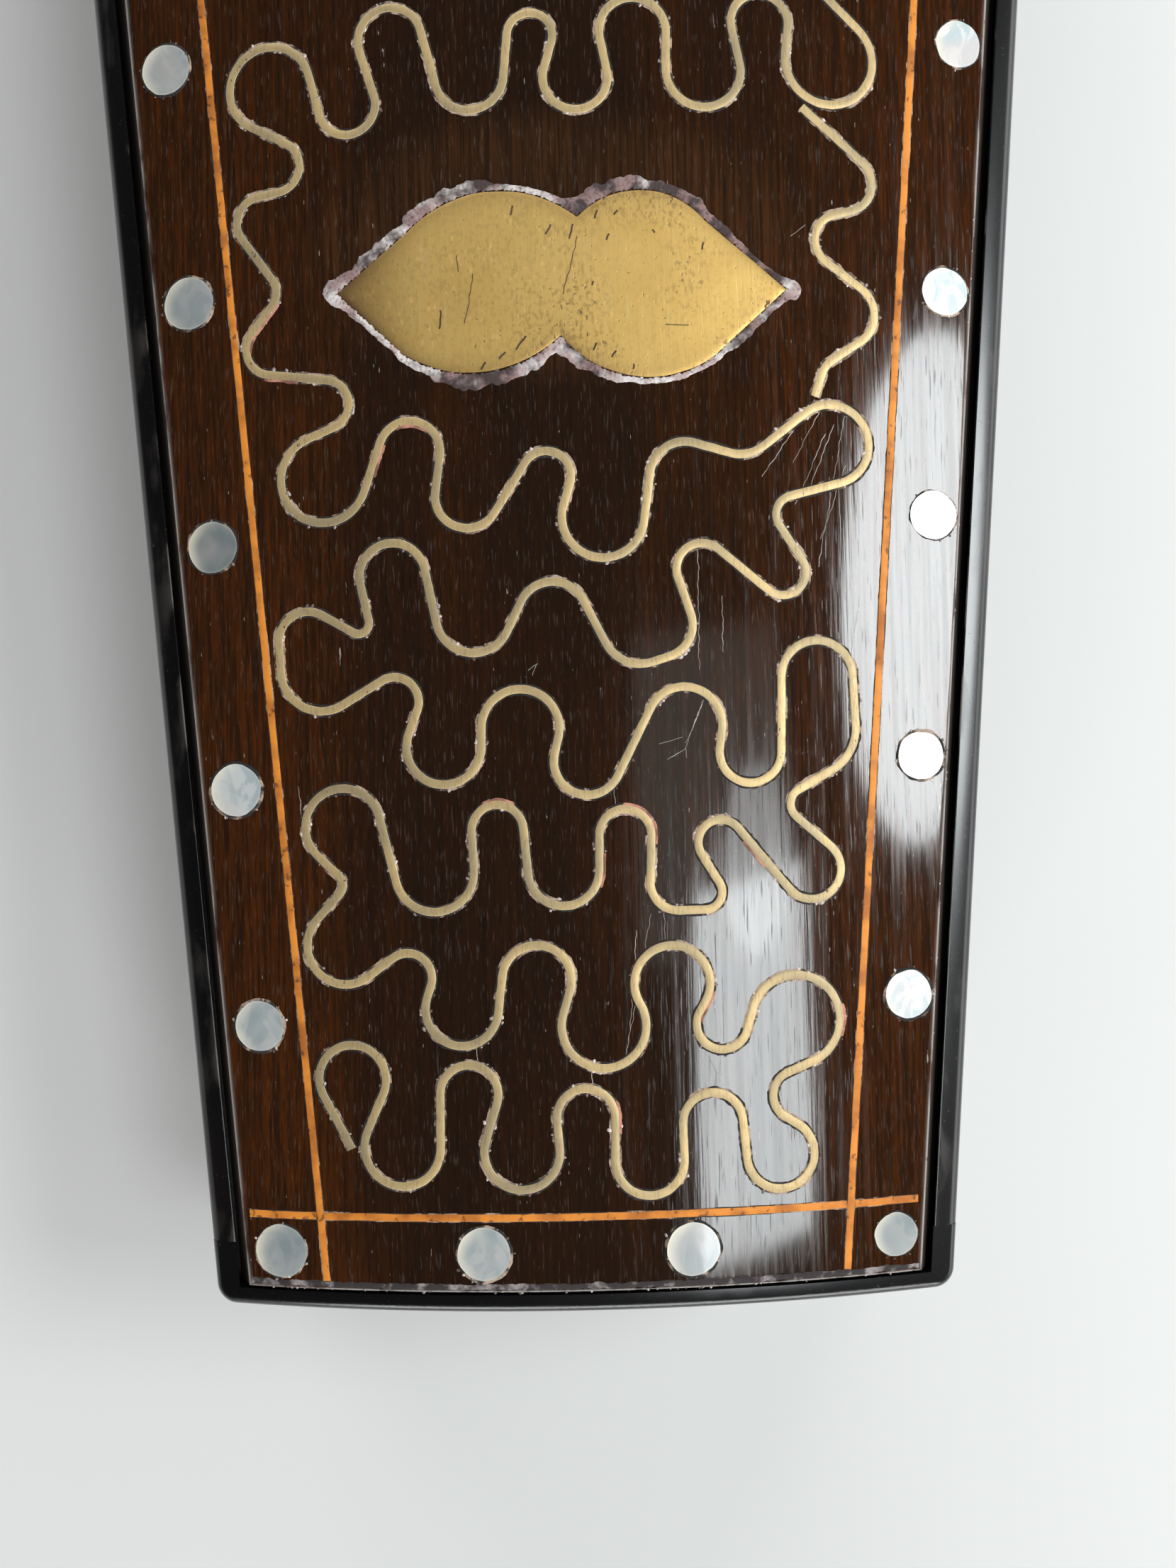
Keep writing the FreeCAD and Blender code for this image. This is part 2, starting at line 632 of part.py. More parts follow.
def strip_lengths():
    """The lengths of brass strip by name, each with its start, its bends and its end."""
    rows = [
        ("wire_row_one", ROW_ONE), ("wire_row_two", ROW_TWO), ("wire_row_three", ROW_THREE),
        ("wire_row_four", ROW_FOUR), ("wire_row_five", ROW_FIVE), ("wire_row_six", ROW_SIX),
        ("wire_left_link", LEFT_LINK), ("wire_row_seven", ROW_SEVEN),
    ]
    laid = [(name, [Bend(*bend) for bend in row]) for name, row in rows]
    repeats = [
        ("eight", ROW_FIVE), ("nine", ROW_FOUR), ("ten", ROW_THREE), ("eleven", ROW_TWO), ("twelve", ROW_ONE),
    ]
    for number, row in repeats:
        laid.append((f"wire_row_{number}", [Bend(*bend, repeated=True) for bend in reversed(row)]))
    lengths = []
    start = StripEnd(on_lid(*STRIP_START, False)[0])
    for i, (name, bends) in enumerate(laid):
        if i + 1 < len(laid):
            leave, meet = straight_run(bends[-1], laid[i + 1][1][0])
            end = StripEnd((leave + meet) / 2)
        else:
            end = StripEnd(on_lid(*STRIP_START, True)[0])
        lengths.append((name, start, bends, end))
        start = end
    link_start = StripEnd(on_lid(*RIGHT_LINK_START, False)[0])
    link_end = StripEnd(on_lid(*RIGHT_LINK_END, False)[0])
    lengths.append(("wire_right_link", link_start, [Bend(*bend) for bend in RIGHT_LINK], link_end))
    return lengths


def dot_rows():
    """Centres of the pearl dots in each of the four rows."""
    end_margin = dot_margin("dot_edge_end", lid_end_inset())
    sides = []
    for side, shifts, edge_name in (
        (-1, LEFT_DOT_SHIFTS, "dot_edge_left"),
        (1, RIGHT_DOT_SHIFTS, "dot_edge_right"),
    ):
        margin = dot_margin(edge_name, lid_inset())
        step = (mm("length") - 2 * end_margin) / (len(shifts) - 1)
        centres = []
        for i, shift in enumerate(shifts):
            y = NARROW_END + end_margin + i * step + shift * mm("dot_diameter")
            centres.append(Vector(side * (half_width(y) - margin), y, LEDGE))
        sides.append(centres)
    left, right = sides
    rows = {"left_dots": left, "right_dots": right}
    for name, count, i in (("narrow_dots", NARROW_DOTS, 0), ("wide_dots", WIDE_DOTS, -1)):
        step = (right[i] - left[i]) / (count + 1)
        rows[name] = [left[i] + step * (k + 1) for k in range(count)]
    return rows


def dot_faces(centres, radius):
    """Round plan outlines."""
    return [Part.Face(Part.Wire(Part.makeCircle(radius, centre))) for centre in centres]


def string_faces(wider):
    """Plan outlines of the strings by name, made wider and longer all round."""
    half = mm("string_width") / 2 + wider
    low_y = NARROW_END + lid_end_inset() + mm("string_edge_inset") - wider
    high_y = WIDE_END - mm("batten_width") - mm("string_edge_inset") + wider
    faces = {}
    for name, side, margin in (
        ("left_string", -1, string_margin("left")),
        ("right_string", 1, string_margin("right")),
    ):
        outer = [Vector(side * (half_width(y) - margin + half), y, LEDGE) for y in (low_y, high_y)]
        inner = [Vector(side * (half_width(y) - margin - half), y, LEDGE) for y in (high_y, low_y)]
        faces[name] = [plan_polygon(outer + inner)]
    clear = mm("string_width") / 2 + mm("inlay_gap") - wider
    edge = lid_inset() + mm("string_edge_inset")
    for name, middle in (
        ("narrow_string", NARROW_END + string_margin("end")),
        ("wide_string", WIDE_END - string_margin("end")),
    ):
        rows = (middle - half, middle + half)
        crossings = []
        for y in rows:
            left = half_width(y) - string_margin("left")
            right = half_width(y) - string_margin("right")
            end = half_width(y) - edge + wider
            crossings.append((-end, -left - clear, -left + clear, right - clear, right + clear, end))
        low, high = crossings
        faces[name] = [
            plan_polygon([
                Vector(low[i], rows[0], LEDGE), Vector(low[i + 1], rows[0], LEDGE),
                Vector(high[i + 1], rows[1], LEDGE), Vector(high[i], rows[1], LEDGE),
            ])
            for i in (0, 2, 4)
        ]
    return faces


def plaque_outline():
    """Closed outline of the brass plaque: four arcs and the straight sides of its two tips."""
    def place(point):
        return on_lid(*point, False)[0]

    left_tip = place(PLAQUE_LEFT_TIP)
    right_tip = place(PLAQUE_RIGHT_TIP)
    edges = []
    for half, notch in enumerate((PLAQUE_TOP_NOTCH, PLAQUE_BOTTOM_NOTCH)):
        left_shoulder = place(PLAQUE_LEFT_SHOULDERS[half])
        right_shoulder = place(PLAQUE_RIGHT_SHOULDERS[half])
        edges.append(Part.makeLine(left_tip, left_shoulder))
        edges.append(Part.Arc(left_shoulder, place(PLAQUE_LEFT_CRESTS[half]), place(notch)).toShape())
        edges.append(Part.Arc(place(notch), place(PLAQUE_RIGHT_CRESTS[half]), right_shoulder).toShape())
        edges.append(Part.makeLine(right_shoulder, right_tip))
    return Part.Wire(Part.__sortEdges__(edges))


def grown(outline, distance):
    """Face of an outline grown by a distance."""
    return Part.Face(outline.makeOffset2D(distance))


# The lid


def lid_blank(low_y, high_y):
    """Bevelled and crowned board between two places along the box."""
    lean = mm("lid_bevel") / mm("rail_height")
    under = LEDGE + mm("lid_lift")
    foot = lid_inset() - mm("lid_bevel")
    bottom = taper_outline(under, low_y, high_y, foot)
    top = taper_outline(ABOVE_CROWN, low_y, high_y, foot + lean * (ABOVE_CROWN - under))
    return frustum(bottom, top).common(CROWN_TOP)


def lid_pieces():
    """Shapes of the lid's pieces by name."""
    gap = mm("inlay_gap")
    shapes = {}
    seats = []
    for name, centres in dot_rows().items():
        radius = mm("dot_diameter") / 2
        shapes[name] = inlay(dot_faces(centres, radius), mm("dot_depth"))
        seats += pockets(dot_faces(centres, radius + gap), mm("dot_depth"))
    for name, faces in string_faces(0.0).items():
        shapes[name] = inlay(faces, mm("string_depth"))
    for faces in string_faces(gap).values():
        seats += pockets(faces, mm("string_depth"))
    for name, start, bends, end in strip_lengths():
        width = mm("wire_width")
        shapes[name] = inlay([strip_face(start, bends, end, width, -gap)], mm("wire_depth"))
        seats += pockets([strip_face(start, bends, end, width + 2 * gap, gap)], mm("wire_depth"))
    outline = plaque_outline()
    shapes["brass_plaque"] = inlay([Part.Face(outline)], mm("plaque_depth"))
    ring = grown(outline, mm("mastic_width")).cut(grown(outline, gap))
    shapes["plaque_mastic"] = inlay(ring.Faces, mm("plaque_depth"))
    seats += pockets([grown(outline, mm("mastic_width") + gap)], mm("plaque_depth"))
    batten_y = WIDE_END - mm("batten_width")
    shapes["lid_board"] = lid_blank(NARROW_END + lid_end_inset(), batten_y).cut(seats)
    shapes["lid_end_batten"] = lid_blank(batten_y, WIDE_END)
    return shapes


# Assembly

nodes = [
    side_wall("left_wall", -1),
    side_wall("right_wall", 1),
    narrow_end_wall(),
    wide_end_wall(),
    base_board(),
    corner_dowels,
    base_pins,
]
nodes += [feature(name, shape) for name, shape in lid_pieces().items()]
doc.recompute()

for item in doc.Objects:
    if "Invalid" in item.State or "Error" in item.State:
        raise RuntimeError(f"{item.Label} failed: {item.State}")
for node in nodes:
    if node.Shape.isNull() or not node.Shape.isValid() or not node.Shape.Solids:
        raise RuntimeError(f"{node.Label} has no sound shape")

os.makedirs("parts", exist_ok=True)
for node in nodes:
    node.Shape.exportStep(f"parts/{node.Label}.step")
    print(f"{node.Label}: {len(node.Shape.Solids)} solids, {node.Shape.Volume:.1f} mm3")
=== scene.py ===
"""Looks of a long tapered box with a bowed sliding lid, inlaid with brass, pearl and orange stringing."""

from __future__ import annotations

import json
import logging
import math
from dataclasses import dataclass, fields
from enum import Enum
from typing import Any, Callable, Sequence

import bpy
import numpy as np
from mathutils import Matrix, Vector

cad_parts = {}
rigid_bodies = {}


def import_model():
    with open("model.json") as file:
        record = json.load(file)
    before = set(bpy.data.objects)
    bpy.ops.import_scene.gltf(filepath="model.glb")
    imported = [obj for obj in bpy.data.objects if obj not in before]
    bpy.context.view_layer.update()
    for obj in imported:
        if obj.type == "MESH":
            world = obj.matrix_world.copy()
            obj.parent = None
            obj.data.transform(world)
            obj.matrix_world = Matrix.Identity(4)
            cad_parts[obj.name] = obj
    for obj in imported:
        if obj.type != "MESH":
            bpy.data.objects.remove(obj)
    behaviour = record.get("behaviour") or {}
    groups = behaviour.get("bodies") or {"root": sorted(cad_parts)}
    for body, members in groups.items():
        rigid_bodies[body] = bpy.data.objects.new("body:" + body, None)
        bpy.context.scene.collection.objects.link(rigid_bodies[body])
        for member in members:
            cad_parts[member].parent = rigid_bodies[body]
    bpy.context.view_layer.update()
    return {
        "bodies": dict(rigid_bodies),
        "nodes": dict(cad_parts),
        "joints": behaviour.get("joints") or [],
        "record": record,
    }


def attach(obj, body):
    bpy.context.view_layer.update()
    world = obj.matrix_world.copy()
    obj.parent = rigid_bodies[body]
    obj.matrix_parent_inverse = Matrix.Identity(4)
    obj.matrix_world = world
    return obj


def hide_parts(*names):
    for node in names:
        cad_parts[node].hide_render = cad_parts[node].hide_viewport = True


LOG = logging.getLogger("inlaid_box")
MM = 0.001
Colour = tuple[float, float, float]
Point = np.ndarray


class Body(Enum):
    """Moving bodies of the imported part."""

    CASE = "case"
    LID = "lid"


class Slot(Enum):
    """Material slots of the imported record."""

    LACQUER = "black_lacquer"
    RAW = "raw_wood"
    ROSEWOOD = "rosewood"
    STRING = "orange_stringing"
    PEARL = "pearl"
    WIRE = "brass_wire"
    PLATE = "brass_plate"
    MASTIC = "mastic"


# Plan of the box, in millimetres


@dataclass(frozen=True)
class BoxPlan:
    """Sizes of the box in millimetres, as in the part's source."""

    length: float = 190.0
    narrow_half: float = 35.0
    wide_half: float = 50.0
    rim_height: float = 36.0
    wall: float = 6.0
    end_wall: float = 6.0
    rim_land: float = 2.4
    rail_height: float = 3.2
    rail_undercut: float = 0.8
    rim_round: float = 0.9
    base_thickness: float = 4.0
    base_rebate: float = 2.5
    lid_bevel: float = 1.4
    lid_inset: float = 3.3
    lid_end_inset: float = 1.95
    lid_lift: float = 0.15
    batten_width: float = 2.4
    dot_radius: float = 2.5
    dot_margin_left: float = 6.9
    dot_margin_right: float = 6.1
    dot_margin_end: float = 5.4
    string_margin_left: float = 11.1
    string_margin_right: float = 10.7
    string_margin_end: float = 8.8
    string_edge: float = 0.8

    @property
    def slope(self) -> float:
        """How far each side spreads for a millimetre of length."""
        return (self.wide_half - self.narrow_half) / self.length

    @property
    def narrow_end(self) -> float:
        """Place of the narrow end along the box."""
        return -self.length / 2

    @property
    def wide_end(self) -> float:
        """Place of the wide end along the box."""
        return self.length / 2

    @property
    def ledge(self) -> float:
        """Height of the ledge that the lid slides on."""
        return self.rim_height - self.rail_height

    @property
    def lid_low(self) -> float:
        """Place of the lid's narrow end."""
        return self.narrow_end + self.lid_end_inset

    @property
    def lid_high(self) -> float:
        """Place where the lid's board meets the batten."""
        return self.wide_end - self.batten_width

    def half_width(self, y: Any) -> Any:
        """Half the outside width at a place along the box."""
        return self.narrow_half + self.slope * (y - self.narrow_end)


PLAN = BoxPlan()


@dataclass(frozen=True)
class Crown:
    """The bow across lid and rim, part of a cone whose tip is where the sides would meet."""

    unit: float = 1.0
    height_at_narrow_end: float = 4.6
    reach: float = 1.0
    drop: float = 1.0

    def height(self, x: Any, y: Any, root: Callable[[Any], Any]) -> Any:
        """Height of the crown.

        Args:
            x: Place across the box, as numbers or as sockets.
            y: Place along the box.
            root: Square root for that kind of value.

        Returns:
            The height above the floor.
        """
        tip = PLAN.narrow_half / PLAN.slope
        crest = math.atan((self.height_at_narrow_end + self.drop) / tip)
        side = math.atan((PLAN.narrow_half + self.reach) / tip)
        lean = math.atan((math.cos(crest) - math.cos(side)) / math.sin(crest))
        spread = math.cos(crest + lean) ** 2
        along = y + (tip - PLAN.narrow_end) * self.unit
        square = spread - math.sin(lean) ** 2
        middle = along * (2 * math.sin(lean) * math.cos(lean))
        rest = x * x * spread + along * along * (spread - math.cos(lean) ** 2)
        rise = (root(middle * middle - rest * (4 * square)) - middle) / (2 * square)
        return rise + (PLAN.rim_height - self.drop) * self.unit


CROWN = Crown()


def crown_at(x: Any, y: Any) -> Any:
    """Crown's height in millimetres at numbers or arrays in millimetres."""
    return CROWN.height(x, y, np.sqrt)


@dataclass(frozen=True)
class Waves:
    """Waves that add up to an uneven line: their reach, their lengths and the seed of their phases."""

    reach: float
    lengths: tuple[float, ...]
    seed: int = 0

    def at(self, place: np.ndarray, more: int = 0) -> np.ndarray:
        """Uneven line that keeps within the reach.

        Args:
            place: Distances along the line.
            more: Added to the seed, for lines that have to differ.

        Returns:
            One value for each distance.
        """
        phases = np.random.default_rng(self.seed + more).uniform(0, 2 * math.pi, len(self.lengths))
        parts = [np.sin(2 * math.pi * place / wave + phase) for wave, phase in zip(self.lengths, phases)]
        return self.reach * (sum(parts) / len(self.lengths))


@dataclass(frozen=True)
class Unevenness:
    """Shallow waves in a surface, in two slanting directions."""

    depth: float
    slants: tuple[float, float]
    waves: tuple[Waves, Waves]

    def at(self, first: np.ndarray, second: float) -> np.ndarray:
        """Height of the waves.

        Args:
            first: Places on one axis.
            second: The place on the other.

        Returns:
            One height for each place.
        """
        one = self.waves[0].at(first + self.slants[0] * second)
        other = self.waves[1].at(second - self.slants[1] * first)
        return self.depth * (one * other)


# Node trees


def operation(kind: str, swapped: bool = False) -> Callable[[Sock, Any], Sock]:
    """Operator of a socket that adds a Math node.

    Args:
        kind: What the node does.
        swapped: Whether the other value comes first.

    Returns:
        The method.
    """

    def run(sock: Sock, value: Any) -> Sock:
        """Output of the node for a socket and another value."""
        first, second = (value, sock) if swapped else (sock, value)
        return sock.nodes.add("ShaderNodeMath", {"operation": kind}, {0: first, 1: second})

    return run


class Sock:
    """A socket that can be used in sums."""

    def __init__(self, nodes: Nodes, node: bpy.types.Node, socket: Any) -> None:
        """Keep what the socket belongs to.

        Args:
            nodes: Maker of the tree's nodes.
            node: The node.
            socket: Its output socket.
        """
        self.nodes = nodes
        self.node = node
        self.socket = socket

    __add__ = operation("ADD")
    __radd__ = operation("ADD", True)
    __sub__ = operation("SUBTRACT")
    __rsub__ = operation("SUBTRACT", True)
    __mul__ = operation("MULTIPLY")
    __truediv__ = operation("DIVIDE")

    def other(self, name: str) -> Sock:
        """Another output of the same node."""
        return Sock(self.nodes, self.node, self.node.outputs[name])

    def root(self) -> Sock:
        """Square root."""
        return self.nodes.add("ShaderNodeMath", {"operation": "SQRT"}, {0: self})

    def band(self, low: float, high: float) -> Sock:
        """Smooth step from 0 at low to 1 at high."""
        sockets = {"Value": self, "From Min": low, "From Max": high}
        return self.nodes.add("ShaderNodeMapRange", {"interpolation_type": "SMOOTHSTEP"}, sockets)


class Nodes:
    """Makes the nodes of one tree."""

    def __init__(self, tree: bpy.types.NodeTree) -> None:
        """Keep the tree."""
        self.tree = tree

    def add(self, kind: str, settings: dict[str, Any], sockets: dict[Any, Any], out: Any = 0) -> Sock:
        """Add a node.

        Args:
            kind: Type of the node.
            settings: Its settings, which are set first.
            sockets: Values or links of its sockets, by name or number.
            out: The output that is wanted.

        Returns:
            That output.
        """
        node = self.tree.nodes.new(kind)
        for name, value in settings.items():
            setattr(node, name, value)
        for key, value in sockets.items():
            if isinstance(value, Sock):
                self.tree.links.new(value.socket, node.inputs[key])
            else:
                node.inputs[key].default_value = value
        return Sock(self, node, node.outputs[out] if len(node.outputs) else None)


class Shader(Nodes):
    """Nodes of a material, on Object coordinates in metres."""

    def __init__(self, tree: bpy.types.NodeTree) -> None:
        """Add the coordinates that all patterns share.

        Args:
            tree: Node tree of the material.
        """
        super().__init__(tree)
        self.place = self.add("ShaderNodeTexCoord", {}, {}, "Object")
        self.axes = self.add("ShaderNodeSeparateXYZ", {}, {0: self.place})

    def scaled(self, per_metre: Colour) -> Sock:
        """Coordinates stretched by a number of repeats per metre on each axis."""
        return self.add("ShaderNodeMapping", {}, {"Vector": self.place, "Scale": per_metre})

    def noise(self, per_metre: Colour, detail: float = 2.0, twist: float = 0.0) -> Sock:
        """Cloudy pattern from 0 to 1."""
        sockets = {"Vector": self.scaled(per_metre), "Scale": 1.0, "Detail": detail, "Distortion": twist}
        return self.add("ShaderNodeTexNoise", {}, sockets)

    def attribute(self, name: str) -> Sock:
        """A number kept on the mesh."""
        return self.add("ShaderNodeAttribute", {"attribute_name": name}, {}, "Fac")

    def blend(self, share: Any, first: Any, second: Any) -> Sock:
        """Mix of two colours.

        Args:
            share: Share of the second colour.
            first: Colour or socket.
            second: Colour or socket.

        Returns:
            The mixed colour.
        """
        colours = [c if isinstance(c, Sock) else (*c, 1.0) for c in (first, second)]
        sockets = {0: share, 6: colours[0], 7: colours[1]}
        return self.add("ShaderNodeMix", {"data_type": "RGBA"}, sockets, 2)

    def bump(self, height: Sock, millimetres: float) -> Sock:
        """Normal of a relief that is this deep."""
        sockets = {"Height": height, "Distance": millimetres * MM, "Strength": 1.0}
        return self.add("ShaderNodeBump", {}, sockets)


# Finishes


class Finish:
    """A procedural material."""

    name = ""

    def sockets(self, s: Shader) -> dict[str, Any]:
        """Values and links of the shader's sockets."""
        raise NotImplementedError

    def make(self) -> bpy.types.Material:
        """Make the material.

        Returns:
            The material, ready for a mesh.
        """
        material = bpy.data.materials.new(self.name)
        material.use_nodes = True
        material.node_tree.nodes.clear()
        shader = Shader(material.node_tree)
        surface = shader.add("ShaderNodeBsdfPrincipled", {}, self.sockets(shader))
        shader.add("ShaderNodeOutputMaterial", {}, {"Surface": surface})
        return material


@dataclass(frozen=True)
class Rosewood(Finish):
    """Dark varnished rosewood with long pores, redder at the sides and worn round the plaque."""

    name: str = "rosewood_varnish"
    heart: Colour = (0.0105, 0.0058, 0.0034)
    sap: Colour = (0.054, 0.0145, 0.0026)
    worn: Colour = (0.085, 0.036, 0.014)
    dry: Colour = (0.20, 0.165, 0.14)
    bare: Colour = (0.62, 0.57, 0.52)
    pores: Colour = (0.003, 0.002, 0.0015)
    heart_edge: tuple[float, float] = (0.012, 0.034)
    halo_half: tuple[float, float] = (0.0255, 0.0135)
    halo_middle: float = 0.0035

    def sockets(self, s: Shader) -> dict[str, Any]:
        """Figure, streaks and pores along the box.

        Args:
            s: Nodes of the material.

        Returns:
            Values and links of the shader's sockets.
        """
        figure = s.noise((70, 8, 60), 4.0, 0.6)
        streak = s.noise((1500, 30, 30), 3.0)
        fine = s.noise((3800, 90, 90), 2.0)
        fleck = s.noise((4600, 330, 330), 2.0)
        pore = s.noise((6400, 260, 260), 1.0).band(0.62, 0.74)
        across = (s.axes * s.axes).root()
        sides = across.band(*self.heart_edge)
        grain = 0.2 + fine.band(0.35, 0.72) * 0.8 + fleck.band(0.45, 0.75) * 0.7
        red = (0.12 + sides * 0.55 + figure.band(0.45, 0.7) * 0.35) * grain
        ring = across / self.halo_half[0]
        lift = (s.axes.other("Y") - self.halo_middle) / self.halo_half[1]
        halo = 1.0 - (ring * ring + lift * lift).root().band(0.7, 1.05)
        colour = s.blend(red, self.heart, self.sap)
        colour = s.blend(halo * (0.07 + fine.band(0.35, 0.7) * 0.24), colour, self.worn)
        colour = s.blend(pore * 0.6, colour, self.pores)
        dash = s.noise((6200, 560, 560), 2.0).band(0.58, 0.74)
        colour = s.blend(dash * 0.13, colour, self.dry)
        dust = s.noise((4400, 620, 620), 2.0).band(0.74, 0.79)
        colour = s.blend(dust * 0.4, colour, self.bare)
        # The pale edge is wear, and along the lid's left edge also a painted highlight.
        edge = s.attribute("edge") * s.noise((700, 160, 400), 4.0).band(0.36, 0.52)
        colour = s.blend(edge, colour, self.bare)
        gloss = 0.035 + streak.band(0.45, 0.75) * 0.09 + fine * 0.07 + pore * 0.15 + edge * 0.4
        relief = streak * 0.5 + fine * 0.2 + fleck * 0.08 - pore * 0.07
        return {
            "Base Color": colour,
            "Roughness": gloss,
            "Normal": s.bump(relief, 0.012),
            "Coat Weight": (1.0 - pore * 0.8) * streak.band(0.36, 0.6) * 0.2,
            "Coat Roughness": 0.05,
        }


@dataclass(frozen=True)
class BlackLacquer(Finish):
    """Satin black lacquer, rubbed to brown and grey along its edges, with a painted highlight along the
    rail's inner edge.
    """

    name: str = "black_lacquer_satin"
    black: Colour = (0.0022, 0.0021, 0.0022)
    brown: Colour = (0.005, 0.0032, 0.0024)
    rubbed: Colour = (0.26, 0.22, 0.19)

    def sockets(self, s: Shader) -> dict[str, Any]:
        """Brushed film with rubbed edges, partly a painted highlight, and fine dust.

        Args:
            s: Nodes of the material.

        Returns:
            Values and links of the shader's sockets.
        """
        cloud = s.noise((60, 40, 60), 5.0)
        brushed = s.noise((900, 30, 900), 3.0)
        dust = s.noise((2600, 2600, 2600), 2.0).band(0.66, 0.8)
        edge = s.attribute("edge") * s.noise((420, 130, 420), 5.0).band(0.5, 0.68)
        colour = s.blend(cloud.band(0.45, 0.75) * 0.6, self.black, self.brown)
        colour = s.blend(dust * 0.05, colour, self.rubbed)
        # The edge mark is wear, and along the rail's inner edge also a painted highlight.
        colour = s.blend(edge * 0.14, colour, self.rubbed)
        return {
            "Base Color": colour,
            "Roughness": 0.2 + cloud * 0.1 + dust * 0.15 + edge * 0.2,
            "Normal": s.bump(brushed * 0.3 + cloud * 0.15 - dust * 0.1, 0.012),
            "Coat Weight": 0.25,
            "Coat Roughness": 0.15,
        }


@dataclass(frozen=True)
class RawWood(Finish):
    """Bare wood inside the box; a darker copy with painted shade goes on the lid's hidden edges."""

    name: str = "raw_wood_bare"
    early: Colour = (0.27, 0.155, 0.08)
    late: Colour = (0.13, 0.064, 0.03)
    pores: Colour = (0.05, 0.024, 0.012)

    def sockets(self, s: Shader) -> dict[str, Any]:
        """Grain along the box with open pores.

        Args:
            s: Nodes of the material.

        Returns:
            Values and links of the shader's sockets.
        """
        figure = s.noise((150, 9, 150), 5.0, 1.2)
        streak = s.noise((1500, 30, 1500), 3.0)
        pore = s.noise((4200, 160, 4200), 1.0).band(0.6, 0.7)
        colour = s.blend(figure.band(0.35, 0.7) * 0.6 + streak * 0.4, self.early, self.late)
        colour = s.blend(pore * 0.6, colour, self.pores)
        return {
            "Base Color": colour,
            "Roughness": 0.62 + streak * 0.2,
            "Normal": s.bump(streak * 0.6 - pore, 0.03),
        }


@dataclass(frozen=True)
class BrassStrip(Finish):
    """Old brass strip, filed flat and dulled."""

    name: str = "brass_strip_dull"
    bright: Colour = (0.53, 0.385, 0.185)
    dull: Colour = (0.335, 0.262, 0.145)
    tarnish: Colour = (0.17, 0.115, 0.065)

    def sockets(self, s: Shader) -> dict[str, Any]:
        """Patches of dull and bright brass with file marks and small dark nicks.

        Args:
            s: Nodes of the material.

        Returns:
            Values and links of the shader's sockets.
        """
        patch = s.noise((120, 120, 120), 4.0)
        filed = s.noise((6500, 900, 900), 3.0)
        nick = s.noise((3300, 3300, 3300), 3.0).band(0.64, 0.78)
        colour = s.blend(patch.band(0.35, 0.68), self.bright, self.dull)
        colour = s.blend(nick * 0.4 + filed.band(0.48, 0.72) * 0.4, colour, self.tarnish)
        return {
            "Base Color": colour,
            "Metallic": 0.45,
            "Roughness": 0.36 + patch * 0.14 + filed * 0.14,
            "Normal": s.bump(filed * 0.6 - nick * 0.6, 0.01),
        }


@dataclass(frozen=True)
class BrassPlate(Finish):
    """Brass sheet brushed along the box and pitted, with painted shade towards one tip and along its edges.
    """

    name: str = "brass_plate_brushed"
    gold: Colour = (0.80, 0.53, 0.17)
    deep: Colour = (0.56, 0.35, 0.095)
    rubbed: Colour = (0.93, 0.70, 0.32)
    stain: Colour = (0.16, 0.088, 0.038)
    pits: Colour = (0.05, 0.026, 0.012)
    pitted_from: tuple[float, float] = (-0.007, 0.001)
    shaded_to: tuple[float, float] = (-0.0215, -0.012)

    def sockets(self, s: Shader) -> dict[str, Any]:
        """Brushing, stains, pits and scratches, with painted shade at the left tip and round the edges.

        Args:
            s: Nodes of the material.

        Returns:
            Values and links of the shader's sockets.
        """
        cloud = s.noise((75, 60, 60), 5.0, 0.4)
        brushed = s.noise((5200, 190, 190), 3.0)
        broad = s.noise((1300, 70, 70), 3.0)
        pitted = 0.3 + s.axes.band(*self.pitted_from) * 0.7
        cluster = s.noise((110, 110, 110), 2.0).band(0.38, 0.6) * pitted
        pit = s.noise((2100, 1100, 1100), 2.0).band(0.63, 0.69) * cluster
        spot = s.noise((3000, 2300, 2300), 2.0).band(0.65, 0.72)
        mottle = s.noise((2700, 1800, 1800), 3.0).band(0.48, 0.64)
        # Painted shade towards the left tip, mixed in with the deep and the stain colours below.
        left = 1.0 - s.axes.band(*self.shaded_to)
        rim = s.attribute("edge")
        colour = s.blend(cloud.band(0.35, 0.7) * 0.6 + left * 0.4, self.gold, self.deep)
        colour = s.blend(brushed.band(0.5, 0.72) * 0.4 + broad.band(0.5, 0.7) * 0.15, colour, self.deep)
        colour = s.blend(mottle * (0.1 + cluster * 0.32), colour, self.stain)
        colour = s.blend((1.0 - brushed.band(0.26, 0.44)) * 0.45, colour, self.rubbed)
        # Painted shade along the edges and at the left tip, in the stain colour.
        colour = s.blend(rim * 0.6 + left * 0.6, colour, self.stain)
        colour = s.blend((pit + spot * 0.5).band(0.0, 1.0) * 0.85, colour, self.pits)
        return {
            "Base Color": colour,
            "Metallic": 0.72 - pit * 0.5,
            "Roughness": 0.3 + brushed * 0.16 + cloud * 0.12 + pit * 0.3,
            "Normal": s.bump(brushed * 0.6 + broad * 0.5 - pit - spot * 0.6, 0.014),
        }


